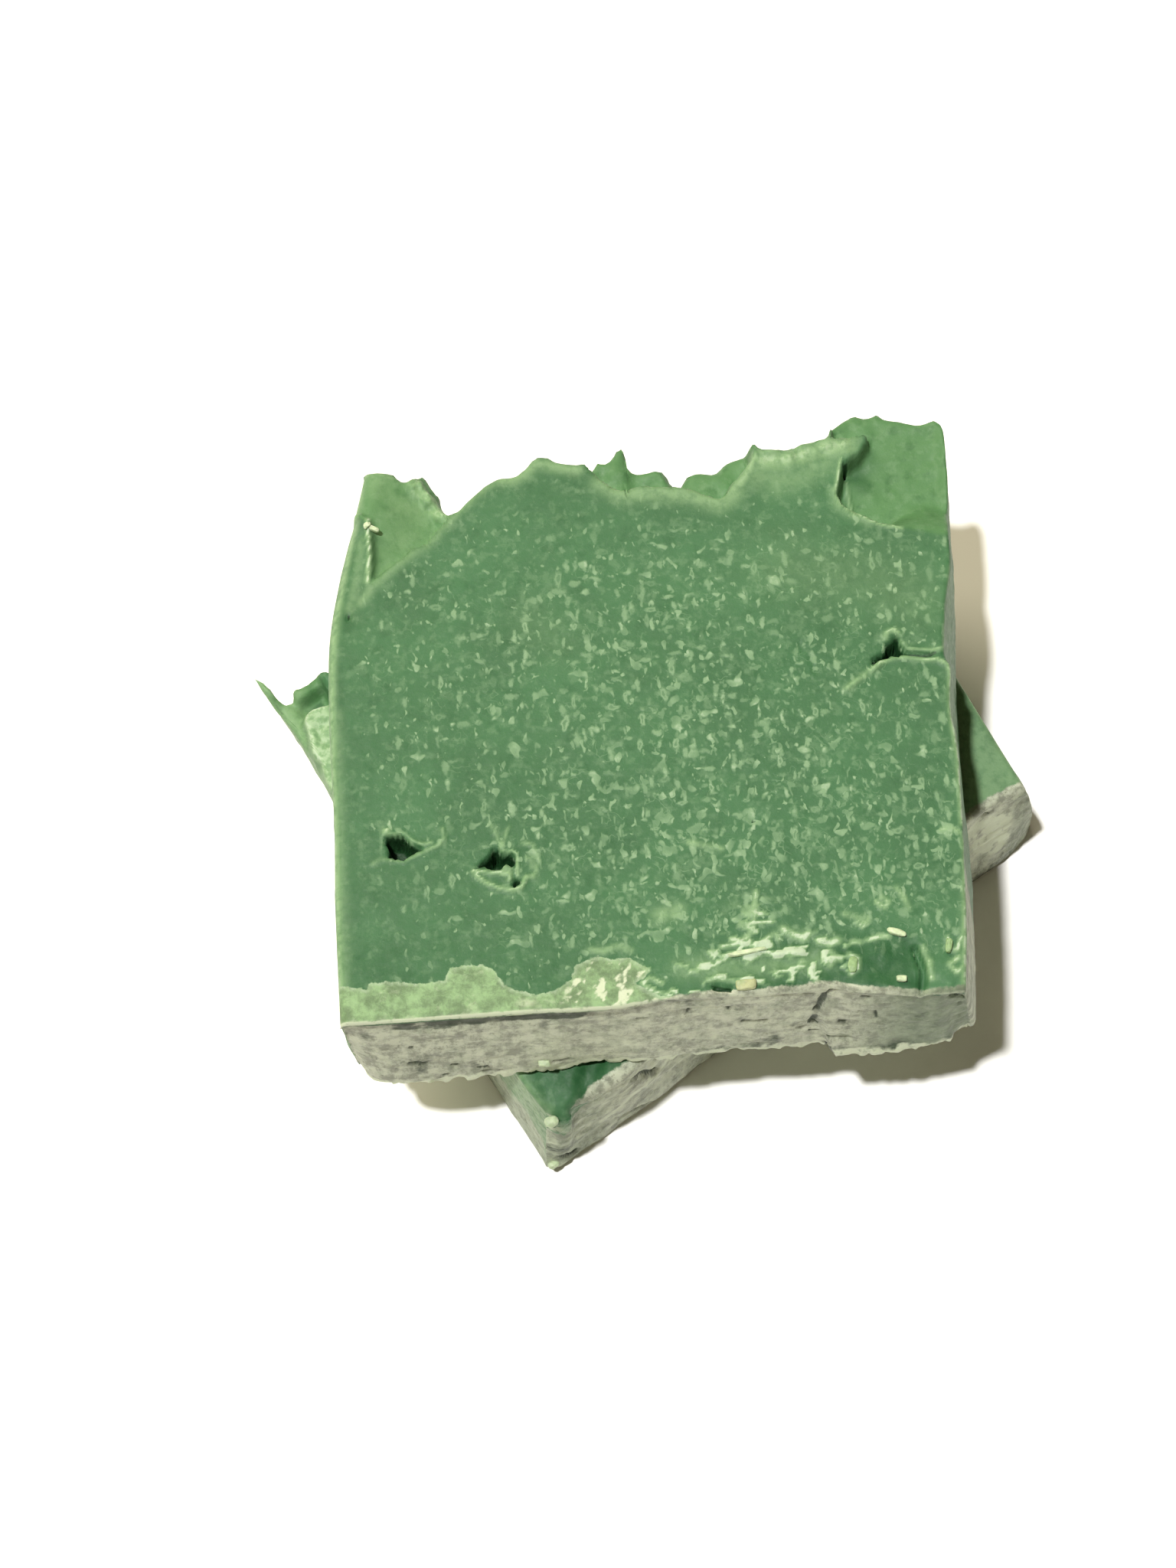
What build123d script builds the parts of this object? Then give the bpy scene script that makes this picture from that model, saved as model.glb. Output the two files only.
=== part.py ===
from build123d import *

import os
from math import cos, radians, sin

# Two hand-cut slices of shaving soap, the upper one lying across the lower one.
#
# A slice is cut across a loaf. Its broad faces are the knife cuts. Its front lay on the
# floor of the mould and is crusted with soda ash, its left and right sides lay against
# the walls of the mould, and its back is the loaf's rough, spooned top.
#
# Row frame: origin at the middle of the lower slice's underside, +Z up, +X along the
# upper slice's front edge, +Y towards the upper slice's rough back.
# Each slice's own frame has its X along that slice's front edge, to the right.

# Driving dimensions, in millimetres and degrees.
upper_width = 75.6  # along the front edge
upper_height = 72.0  # from the front to the mean line of the rough back
upper_thickness = 25.0  # between the two knife cuts
lower_width = 77.6
lower_height = 61.0
lower_thickness = 25.0
lower_turn = 31.5  # lower slice turned anticlockwise from the upper one
upper_shift_x = -4.0  # middle of the upper slice from the middle of the lower one
upper_shift_y = -4.3

upper_left_lean = 0.143  # at the back the left wall leans in by this share of half the width
upper_lean_start = 44.0  # the lean starts this far behind the front
upper_right_flare = 0.127  # and the right wall leans out by this share
lower_left_lean = 0.108
lower_lean_start = 5.0
lower_right_flare = 0.021

heel_spread = 1.8  # the front right corner swelled over the mould's floor
heel_length = 11.0
heel_height = 15.0
swell_depth = 1.4  # the crust swelled forward along the upper slice's lower left edge
swell_length = 26.0
swell_height = 6.0
swell_start = 8.0  # from the left wall
swell_end = 8.5  # it dies away over this length
corner_break_front = 5.4  # corner broken off the upper slice, along its front
corner_break_side = 6.5  # and along its left wall
lower_shoulder = 1.5  # worn shoulder along the lower slice's front upper edge
upper_shoulder = 0.5

left_hollow_depth = 4.5  # spoon marks along the upper slice's back, below the cut
middle_hollow_depth = 5.0
right_hollow_depth = 3.5
lower_hollow_depth = 5.0
pit_depth = 6.0  # air pockets that the knife opened
pit_slope = 6.0
crack_width = 0.5  # crack from the right air pocket to the right wall
crack_depth = 7.0

flake_thickness = 0.6  # shavings that lie on a face
grain_thickness = 0.9  # rounder crumbs
flake_slope = 12.0  # their edges slope in
bit_sides = 7  # chipped all round
edge_clearance = 0.3  # kept between a crumb and the edge that it lies beside

past_edge = 12.0  # cutters run this far out of the soap


def slice_base(x, y, z, turn):
    """The plane of a slice's underside, its X along that slice's front edge."""
    along = (cos(radians(turn)), sin(radians(turn)), 0)
    return Plane(origin=(x, y, z), x_dir=along, z_dir=(0, 0, 1))


lower_base = slice_base(0, 0, 0, lower_turn)
lower_top = lower_base.offset(lower_thickness)
upper_base = slice_base(upper_shift_x, upper_shift_y, lower_thickness, 0)
upper_top = upper_base.offset(upper_thickness)

# The rough back of each slice, from left to right. A point is its place across the
# slice, as a share of the half width, and its distance behind the mean line.
upper_back = [
    (-0.86, 1.8), (-0.78, 2.0), (-0.71, 0.3), (-0.67, 1.3), (-0.62, -1.9),
    (-0.57, -6.0), (-0.49, -3.9), (-0.40, -1.4), (-0.32, -0.9), (-0.25, 1.1),
    (-0.18, 0.0), (-0.10, 0.1), (-0.06, 1.6), (0.00, 2.2), (0.02, 3.3),
    (0.04, 3.0), (0.05, 0.8), (0.14, -0.2), (0.20, -2.2), (0.26, -0.4),
    (0.32, -0.5), (0.37, 1.1), (0.46, 1.2), (0.56, 0.3), (0.68, 1.4),
    (0.71, 3.5), (0.79, 5.5), (0.85, 6.3), (0.94, 5.8), (1.05, 4.6),
]
lower_back = [
    (-0.905, 7.6), (-0.89, 3.0), (-0.85, 3.3), (-0.78, 2.5), (-0.70, 0.9),
    (-0.58, 2.4), (-0.45, 0.4), (-0.30, 1.7), (-0.15, 2.8), (0.02, 1.2),
    (0.12, 1.9), (0.25, -0.4), (0.38, 0.3), (0.50, -2.2), (0.62, -4.6),
    (0.74, -4.0), (0.88, -6.2), (0.95, -5.1),
]

# Spoon marks, each by the edge that it leaves on the cut, from left to right.
left_hollow = [
    (-0.80, 3.0), (-0.885, -17.6), (-0.78, -12.9), (-0.70, -11.1),
    (-0.64, -9.9), (-0.61, -8.0), (-0.56, -6.4),
]
middle_hollow = [
    (-0.11, -0.1), (-0.03, -3.3), (0.10, -4.0), (0.18, -4.2), (0.33, -6.1),
    (0.38, -3.9), (0.41, -2.3), (0.46, -2.0),
]
right_hollow = [
    (0.68, 1.3), (0.85, 1.2), (0.77, -1.7), (0.73, -4.1), (0.73, -7.0),
    (0.76, -9.0), (0.86, -10.5), (1.20, -12.4),
]
lower_hollow = [
    (-0.95, -1.8), (-0.91, -2.4), (-0.88, 0.8), (-0.86, 1.5), (-0.80, 0.8),
    (-0.72, 0.6), (-0.66, 1.6),
]

# Air pockets in the upper cut: the middle, from the left or right wall and from the
# front, and the corners about it.
left_pit_at = (7.2, 22.1)
left_pit = [(-1.9, 1.2), (0.4, 1.2), (2.6, -0.5), (0.5, -1.9), (-1.7, -1.2)]
middle_pit_at = (19.7, 19.9)
middle_pit = [(-2.4, -0.8), (-0.4, 1.5), (2.1, 0.6), (2.3, -0.9), (0.0, -1.5)]
right_pit_at = (5.5, 44.3)
right_pit = [(-2.0, 0.6), (0.8, 1.8), (1.9, -0.3), (0.8, -1.1), (-2.2, -1.2)]


def back_points(points, width, height):
    """Points along the rough back, in the slice's own frame."""
    return [(share * width / 2, height / 2 + behind) for share, behind in points]


def slice_outline(width, height, back, left_lean, lean_start, right_flare):
    """A slice's cut face: front, right wall, rough back, and left wall curving in."""
    front = -height / 2
    left_end = ((left_lean - 1) * width / 2, height / 2 + back[0][1])
    right_end = ((1 + right_flare) * width / 2, height / 2 + back[-1][1])
    lean_from = (-width / 2, front + lean_start)
    rough = back_points(back[1:-1], width, height)
    with BuildSketch() as outline:
        with BuildLine():
            Polyline(lean_from, (-width / 2, front), (width / 2, front), right_end)
            Polyline(right_end, *reversed(rough), left_end)
            TangentArc(lean_from, left_end, tangent=(0, 1))
        make_face()
    return outline.sketch


def spoon_mark(points, width, height):
    """A spoon mark's outline, from its edge on the cut out past the slice's back."""
    edge = back_points(points, width, height)
    behind = height / 2 + past_edge
    with BuildSketch() as mark:
        with BuildLine():
            Polyline(*edge, (edge[-1][0], behind), (edge[0][0], behind), close=True)
        make_face()
    return mark.sketch


def heel(width, height):
    """The swelling at the front right corner, seen from above."""
    corner_x = width / 2
    front = -height / 2
    with BuildSketch() as swollen:
        Polygon(
            (corner_x - heel_length, front),
            (corner_x + heel_spread, front - heel_spread / 2),
            (corner_x, front + heel_length),
            align=None,
        )
    return swollen.sketch


upper_front = -upper_height / 2
upper_left = -upper_width / 2
upper_right = upper_width / 2
lower_front = -lower_height / 2
lower_left = -lower_width / 2
swell_left = upper_left + swell_start
swell_right = swell_left + swell_length

with BuildPart() as upper_bar:
    with BuildSketch(upper_base):
        add(slice_outline(upper_width, upper_height, upper_back,
                          upper_left_lean, upper_lean_start, upper_right_flare))
    extrude(amount=upper_thickness)
    front_edge = upper_bar.faces().sort_by(Axis.Z)[-1].edges().sort_by(Axis.Y)[0]
    chamfer(front_edge, length=upper_shoulder)
    with BuildSketch(upper_base):
        add(heel(upper_width, upper_height))
        Polygon(
            (swell_left, upper_front),
            (swell_left + swell_depth, upper_front - swell_depth),
            (swell_right - swell_end, upper_front - swell_depth),
            (swell_right, upper_front),
            align=None,
        )
    extrude(amount=swell_height)
    for marks, depth in (
        (left_hollow, left_hollow_depth),
        (middle_hollow, middle_hollow_depth),
        (right_hollow, right_hollow_depth),
    ):
        with BuildSketch(upper_top):
            add(spoon_mark(marks, upper_width, upper_height))
        extrude(amount=-depth, mode=Mode.SUBTRACT)
    left_pit_middle = (upper_left + left_pit_at[0], upper_front + left_pit_at[1])
    middle_pit_middle = (upper_left + middle_pit_at[0], upper_front + middle_pit_at[1])
    right_pit_middle = (upper_right - right_pit_at[0], upper_front + right_pit_at[1])
    with BuildSketch(upper_top):
        for middle, corners in (
            (left_pit_middle, left_pit),
            (middle_pit_middle, middle_pit),
            (right_pit_middle, right_pit),
        ):
            with Locations(middle):
                Polygon(*corners, align=None)
    extrude(amount=-pit_depth, taper=pit_slope, mode=Mode.SUBTRACT)
    crack_length = right_pit_at[0] + past_edge
    with BuildSketch(upper_top):
        with Locations(right_pit_middle):
            Rectangle(crack_length, crack_width, align=(Align.MIN, Align.CENTER))
    extrude(amount=-crack_depth, mode=Mode.SUBTRACT)
    broken_top = Vector(upper_left, upper_front, upper_thickness)
    broken_front = Vector(upper_left + corner_break_front, upper_front, 0)
    broken_side = Vector(upper_left, upper_front + corner_break_side, 0)
    break_plane = Plane(
        origin=upper_base.from_local_coords(broken_top),
        x_dir=broken_front - broken_top,
        z_dir=(broken_side - broken_top).cross(broken_front - broken_top),
    )
    split(bisect_by=break_plane, keep=Keep.BOTTOM)

with BuildPart() as lower_bar:
    with BuildSketch(lower_base):
        add(slice_outline(lower_width, lower_height, lower_back,
                          lower_left_lean, lower_lean_start, lower_right_flare))
    extrude(amount=lower_thickness)
    backwards = Axis(lower_base.origin, lower_base.y_dir)
    front_edge = lower_bar.faces().sort_by(Axis.Z)[-1].edges().sort_by(backwards)[0]
    chamfer(front_edge, length=lower_shoulder)
    with BuildSketch(lower_base):
        add(heel(lower_width, lower_height))
    extrude(amount=heel_height)
    with BuildSketch(lower_top):
        add(spoon_mark(lower_hollow, lower_width, lower_height))
    extrude(amount=-lower_hollow_depth, mode=Mode.SUBTRACT)

swell_face = Plane(
    origin=upper_base.from_local_coords(Vector(0, upper_front - swell_depth, 0)),
    x_dir=upper_base.x_dir,
    z_dir=-upper_base.y_dir,
)
lower_front_face = Plane(
    origin=lower_base.from_local_coords(Vector(0, lower_front, 0)),
    x_dir=lower_base.x_dir,
    z_dir=-lower_base.y_dir,
)
hollow_floor = upper_top.offset(-left_hollow_depth)
hollow_left = left_hollow[0][0] * upper_width / 2
hollow_back = upper_height / 2

# Loose bits stuck to the soap: face, middle on that face, length, width, thickness
# and how far they are turned.
loose_bits = {
    "rim_crumb_outer": (hollow_floor, (hollow_left - 0.4, hollow_back - 7.0),
                        1.2, 0.9, grain_thickness, 20),
    "rim_crumb_inner": (hollow_floor, (hollow_left + 1.1, hollow_back - 7.6),
                        1.0, 0.8, grain_thickness, -30),
    "rice_flake": (upper_top, (upper_right - 7.9, upper_front + 7.3),
                   2.1, 0.9, flake_thickness, -12),
    "tooth_flake": (upper_top, (upper_right - 1.4 - edge_clearance, upper_front + 5.2),
                    2.2, 1.2, flake_thickness, 80),
    "oval_flake": (upper_top, (upper_right - 13.5, upper_front + 3.6),
                   1.8, 1.4, flake_thickness, 70),
    "corner_grain": (upper_top, (upper_right - 7.8, upper_front + 1.1 + edge_clearance),
                     1.1, 0.8, grain_thickness, 10),
    "cream_chip": (upper_top, (upper_right - 26.6, upper_front + 1.5 + edge_clearance),
                   2.4, 1.1, flake_thickness, 8),
    "long_sliver": (upper_top, (upper_right - 26.3, upper_front + 5.9),
                    4.6, 0.7, flake_thickness, 4),
    "crust_grain": (swell_face,
                    (swell_right - swell_end - 0.7 - edge_clearance, swell_height - 1.8),
                    1.4, 0.8, grain_thickness, -6),
    "tip_crumb": (lower_front_face, (lower_left + 0.9 + edge_clearance, 1.3),
                  2.0, 1.6, grain_thickness, 35),
    "corner_lump": (lower_front_face,
                    (lower_left + 1.6, lower_thickness - lower_shoulder - 1.1 - edge_clearance),
                    2.1, 1.5, grain_thickness, 15),
}


def loose_bit(face, middle, length, width, thickness, turn):
    """A chipped crumb or shaving lying flat on a face, its edges sloping in."""
    bearings = [radians(360 * side / bit_sides) for side in range(bit_sides)]
    corners = [(length / 2 * cos(b), width / 2 * sin(b)) for b in bearings]
    with BuildPart() as bit:
        with BuildSketch(face):
            with Locations(Location(middle, turn)):
                Polygon(*corners, align=None)
        extrude(amount=thickness, taper=flake_slope)
    return bit.part


os.makedirs("parts", exist_ok=True)

upper_bar.part.label = "upper_bar"
export_step(upper_bar.part, "parts/upper_bar.step")

lower_bar.part.label = "lower_bar"
export_step(lower_bar.part, "parts/lower_bar.step")

for name, measures in loose_bits.items():
    piece = loose_bit(*measures)
    piece.label = name
    export_step(piece, f"parts/{name}.step")
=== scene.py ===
import bpy
import numpy as np
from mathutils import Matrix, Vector


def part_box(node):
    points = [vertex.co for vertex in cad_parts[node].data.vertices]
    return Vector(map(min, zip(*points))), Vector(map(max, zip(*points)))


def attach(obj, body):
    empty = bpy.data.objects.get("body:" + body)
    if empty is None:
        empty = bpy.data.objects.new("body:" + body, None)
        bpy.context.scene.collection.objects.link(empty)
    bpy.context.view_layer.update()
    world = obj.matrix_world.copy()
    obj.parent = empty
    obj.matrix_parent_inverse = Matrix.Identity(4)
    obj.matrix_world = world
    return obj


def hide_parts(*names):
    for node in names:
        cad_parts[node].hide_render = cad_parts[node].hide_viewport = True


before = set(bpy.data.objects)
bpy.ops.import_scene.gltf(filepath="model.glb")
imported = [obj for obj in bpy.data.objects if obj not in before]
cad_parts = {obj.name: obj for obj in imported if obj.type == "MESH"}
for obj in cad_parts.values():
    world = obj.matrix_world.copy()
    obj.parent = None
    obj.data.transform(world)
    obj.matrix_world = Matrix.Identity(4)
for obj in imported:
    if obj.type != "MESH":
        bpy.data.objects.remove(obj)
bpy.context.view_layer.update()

# Lengths are in millimetres until a mesh is made.
MM = 0.001
UPPER_SHIFT = (-4.0, -4.3)
LOWER_TURN = 31.5
CUT_TOP, CUT_MIDDLE, CUT_FLOOR = 50.0, 25.0, 0.0


# ---------------------------------------------------------------- surfaces

def cloud(points, size, seed):
    """Smooth noise from -1 to 1: a random number at every corner of a cubic lattice of
    that cell size, blended over each cell by the cubic 3t^2 - 2t^3 along each axis."""
    p = np.asarray(points, float) / size + 37.3 * seed
    cell = np.floor(p)
    t = p - cell
    t = t * t * (3 - 2 * t)
    cell = cell.astype(np.int64)
    total = np.zeros(len(p))
    for corner in range(8):
        step = np.array([corner & 1, corner >> 1 & 1, corner >> 2 & 1])
        key = (cell + step) * np.array([73856093, 19349663, 83492791])
        mixed = (key[:, 0] ^ key[:, 1] ^ key[:, 2] ^ (seed * 2654435761)) & 0xFFFFFFFF
        mixed = (mixed ^ (mixed >> 15)) * 2246822519 & 0xFFFFFFFF
        mixed = (mixed ^ (mixed >> 13)) * 3266489917 & 0xFFFFFFFF
        value = ((mixed ^ (mixed >> 16)) & 0xFFFFFF) / 0x7FFFFF - 1
        total += value * np.prod(np.where(step, t, 1 - t), axis=1)
    return total


def rubble(points, size, seed, layers=3):
    """Rough noise: clouds added together, each with half the size and half the weight
    of the one before."""
    total = 0
    for layer in range(layers):
        total = total + cloud(points, size / 2 ** layer, seed + layer) / 2 ** layer
    return total


def rise(x, start, end):
    """0 before start, 1 after end, and the cubic 3t^2 - 2t^3 between them."""
    t = np.clip((np.asarray(x, float) - start) / (end - start), 0, 1)
    return t * t * (3 - 2 * t)


def most(*fields):
    """The largest of several fields at each point."""
    best = fields[0]
    for field in fields[1:]:
        best = np.maximum(best, field)
    return best


def hump(far, width):
    """exp(-(far / width)^2): 1 on a line, fading on both sides of it."""
    return np.exp(-(far / width) ** 2)


def spot(x, y, middle_x, middle_y, half_x, half_y):
    """A hump in two directions: exp(-((x - mx) / hx)^2 - ((y - my) / hy)^2)."""
    return np.exp(-((x - middle_x) / half_x) ** 2 - ((y - middle_y) / half_y) ** 2)


def near(points, line, start, end):
    """The step rise, from start to end, of the distance from each point to a line."""
    return rise(reach(points, line), start, end)


def toned(colour, share):
    """A colour with each of its parts times the same share."""
    return tuple(share * part for part in colour)


def reach(points, line, closed=False):
    """The distance in the plane from each point to a line of straight pieces: the
    least, over the pieces, of the distance to the nearest spot of that piece."""
    line = np.asarray(line, float)
    if closed:
        line = np.vstack([line, line[:1]])
    best = np.full(len(points), 1e9)
    for a, b in zip(line[:-1], line[1:]):
        along = b - a
        t = np.clip((points[:, :2] - a) @ along / max(along @ along, 1e-12), 0, 1)
        best = np.minimum(best, np.hypot(*(points[:, :2] - a - t[:, None] * along).T))
    return best


def inside(points, ring):
    """How deep each point lies in a closed ring, in mm: the distance to the ring,
    positive inside and negative outside, by counting crossings to the right."""
    ring = np.asarray(ring, float)
    odd = np.zeros(len(points), bool)
    x, y = points[:, 0], points[:, 1]
    for a, b in zip(ring, np.roll(ring, -1, axis=0)):
        straddles = (a[1] > y) != (b[1] > y)
        run = b[1] - a[1] if b[1] != a[1] else 1e-12
        odd ^= straddles & (x < a[0] + (y - a[1]) * (b[0] - a[0]) / run)
    return np.where(odd, 1, -1) * reach(points, ring, closed=True)


def through(points, shares, by_x=0.0):
    """A curve through the points, a Catmull-Rom cubic over each span, read at shares of
    its length from 0 to 1. by_x is how far the share counts distance along x instead."""
    p = np.asarray(points, float)
    p = np.vstack([2 * p[0] - p[1], p, 2 * p[-1] - p[-2]])
    t = np.linspace(0, 1, 24, endpoint=False)[:, None]
    a, b, c, d = (p[k:len(p) - 3 + k, None] for k in range(4))
    fine = 0.5 * (2 * b + (c - a) * t + (2 * a - 5 * b + 4 * c - d) * t ** 2
                  + (3 * b - a - 3 * c + d) * t ** 3)
    fine = np.vstack([fine.reshape(-1, 2), p[-2]])
    length = np.hypot(*np.diff(fine, axis=0).T) + 1e-9
    width = np.abs(np.diff(fine[:, 0])) + 1e-9
    pace = (1 - by_x) * length / length.sum() + by_x * width / width.sum()
    place = np.concatenate([[0], np.cumsum(pace)])
    place /= place[-1]
    return np.stack([np.interp(shares, place, fine[:, k]) for k in range(2)], 1)


def ruled(count):
    """Shares from 0 to 1 for the lines of a face: close together by both edges and
    even between them."""
    near = np.array([0, 0.0016, 0.0036, 0.0062, 0.0094])
    return np.concatenate([near, np.linspace(0.0135, 0.9865, count - 10), 1 - near[::-1]])


def make_mesh(name, vertices, faces, attributes, turn=0.0, shift=(0, 0)):
    """One mesh object from vertices in mm in a slice's own frame, turned about +Z and
    shifted into the row frame, with one number per vertex for each attribute."""
    c, s = np.cos(np.radians(turn)), np.sin(np.radians(turn))
    v = np.asarray(vertices, float)
    placed = np.stack([v[:, 0] * c - v[:, 1] * s + shift[0],
                       v[:, 0] * s + v[:, 1] * c + shift[1], v[:, 2]], 1) * MM
    mesh = bpy.data.meshes.new(name)
    mesh.from_pydata(placed.tolist(), [], faces)
    for key, values in attributes.items():
        layer = mesh.attributes.new(key, "FLOAT", "POINT")
        layer.data.foreach_set("value", np.asarray(values, np.float32))
    mesh.polygons.foreach_set("use_smooth", np.ones(len(mesh.polygons), bool))
    mesh.update()
    made = bpy.data.objects.new(name, mesh)
    bpy.context.scene.collection.objects.link(made)
    return made


def slice_of_soap(name, sides, base_sides, top, wall, floor, turn, shift):
    """One closed slice. Its top is a Coons patch: at (u, v) the blend of the front and
    back curves by v, plus the blend of the left and right curves by u, less the
    two-way blend of the corners, lifted to the height that top(x, y) gives. Its wall
    is ruled from each point of the rim down to the same share of the base curve,
    pushed out by wall(side, place, height). Its underside shrinks in rings to a flat."""
    across, deep, rows = 236, 236, 38
    u, v = ruled(across), ruled(deep)
    shares = {"front": u, "back": u, "left": v, "right": v}
    rim = {k: through(p, shares[k], 0.75 if k == "back" else 0.0) for k, p in sides.items()}
    foot = {k: through(p, shares[k], 0.75 if k == "back" else 0.0) for k, p in base_sides.items()}
    uu, vv = u[None, :, None], v[:, None, None]
    f, b = rim["front"][None], rim["back"][None]
    l, r = rim["left"][:, None], rim["right"][:, None]
    patch = ((1 - vv) * f + vv * b + (1 - uu) * l + uu * r
             - (1 - uu) * (1 - vv) * f[:, :1] - uu * (1 - vv) * f[:, -1:]
             - (1 - uu) * vv * b[:, :1] - uu * vv * b[:, -1:])
    plan = patch.reshape(-1, 2)
    height, marks = top(plan, rim)
    grid = np.arange(across * deep).reshape(deep, across)
    loop = np.concatenate([grid[0], grid[1:, -1], grid[-1, -2::-1], grid[-2:0:-1, 0]])
    around = len(loop)
    base = np.concatenate([foot["front"], foot["right"][1:], foot["back"][-2::-1],
                           foot["left"][-2:0:-1]])
    edge = plan[loop]
    side = np.concatenate([np.zeros(across), np.ones(deep - 1), np.full(across - 1, 2),
                           np.full(deep - 2, 3)])
    ahead = np.roll(edge, -2, axis=0) - np.roll(edge, 2, axis=0)
    for _ in range(4):
        ahead = (np.roll(ahead, 2, axis=0) + 2 * ahead + np.roll(ahead, -2, axis=0)) / 4
    outward = np.stack([ahead[:, 1], -ahead[:, 0]], 1)
    outward /= np.hypot(*outward.T)[:, None] + 1e-9
    t = np.linspace(0, 1, rows + 1)[1:, None]
    t = t - 0.35 * np.sin(2 * np.pi * t) / (2 * np.pi)
    rim_z = height[loop][None]
    z = rim_z + (floor - rim_z) * t
    blend = t[..., None]
    xy = edge[None] * (1 - blend) + base[None] * blend
    push, wall_marks = wall(np.repeat(side[None], rows, 0).ravel(), xy.reshape(-1, 2),
                            z.ravel(), np.repeat(rim_z, rows, 0).ravel())
    tuck = 0.5
    low = np.clip(1 - (z - floor) / tuck, 0, 1)
    push = push.reshape(rows, around) - tuck * (1 - np.sqrt(1 - low ** 2))
    xy = xy + outward[None] * push[..., None]
    middle = base.mean(0)
    rings = np.array([0.004, 0.02, 0.2, 0.5, 0.8])
    under = middle + (xy[-1][None] - middle) * (1 - rings[:, None, None])
    vertices = np.concatenate([
        np.column_stack([plan, height]),
        np.column_stack([xy.reshape(-1, 2), z.ravel()]),
        np.column_stack([under.reshape(-1, 2), np.full(len(rings) * around, floor)])])
    start = across * deep
    wall_ids = start + np.arange(rows * around).reshape(rows, around)
    ring_ids = start + rows * around + np.arange(len(rings) * around).reshape(-1, around)
    skirt = np.vstack([loop[None], wall_ids, ring_ids])
    g = grid
    quads = [np.stack([g[:-1, :-1], g[:-1, 1:], g[1:, 1:], g[1:, :-1]], -1).reshape(-1, 4)]
    nxt = np.roll(skirt, -1, axis=1)
    quads.append(np.stack([skirt[1:], nxt[1:], nxt[:-1], skirt[:-1]], -1).reshape(-1, 4))
    faces = np.concatenate(quads).tolist() + [ring_ids[-1][::-1].tolist()]
    attributes = {}
    for key in marks:
        attributes[key] = np.concatenate([marks[key], wall_marks[key],
                                          np.repeat(wall_marks[key].reshape(rows, around)[-1:],
                                                    len(rings), 0).ravel()])
    return make_mesh(name, vertices, faces, attributes, turn, shift)


def crumb(name, node, body, size, turn, lumps, square, seed, move=(0, 0, 0)):
    """One closed crumb, centred on its CAD box. At azimuth a and polar angle p the
    direction is (sin p cos a, sin p sin a, cos p), each part raised to the power square
    with its sign kept, times half the size, times 1 plus noise of weight lumps, then
    turned about +Z. Both poles are single points."""
    low, high = (np.array(c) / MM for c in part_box(node))
    turns, bands = 48, 26
    a = np.linspace(0, 2 * np.pi, turns, endpoint=False)[None]
    p = np.linspace(0, np.pi, bands + 1)[1:-1][:, None]
    way = np.stack([np.sin(p) * np.cos(a), np.sin(p) * np.sin(a), np.cos(p) + 0 * a], -1)
    way = np.concatenate([[[0, 0, 1.0]], way.reshape(-1, 3), [[0, 0, -1.0]]])
    shape = np.sign(way) * np.abs(way) ** square
    shape *= (1 + lumps * rubble(way, 0.8, seed, 2) / 1.5)[:, None] * np.array(size) / 2
    c, s = np.cos(np.radians(turn)), np.sin(np.radians(turn))
    shape = np.stack([shape[:, 0] * c - shape[:, 1] * s, shape[:, 0] * s + shape[:, 1] * c,
                      shape[:, 2]], 1)
    v = (low + high) / 2 + np.array(move) + shape
    ids = 1 + np.arange(turns * (bands - 1)).reshape(bands - 1, turns)
    nxt = np.roll(ids, -1, axis=1)
    quads = np.stack([ids[1:], nxt[1:], nxt[:-1], ids[:-1]], -1).reshape(-1, 4)
    top_fan = np.stack([np.zeros(turns, int), ids[0], nxt[0]], -1)
    low_fan = np.stack([np.full(turns, len(v) - 1), nxt[-1], ids[-1]], -1)
    faces = quads.tolist() + top_fan.tolist() + low_fan.tolist()
    made = make_mesh(name, v, faces, {})
    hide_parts(node)
    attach(made, body)
    return made


# ---------------------------------------------------------------- upper slice

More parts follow.
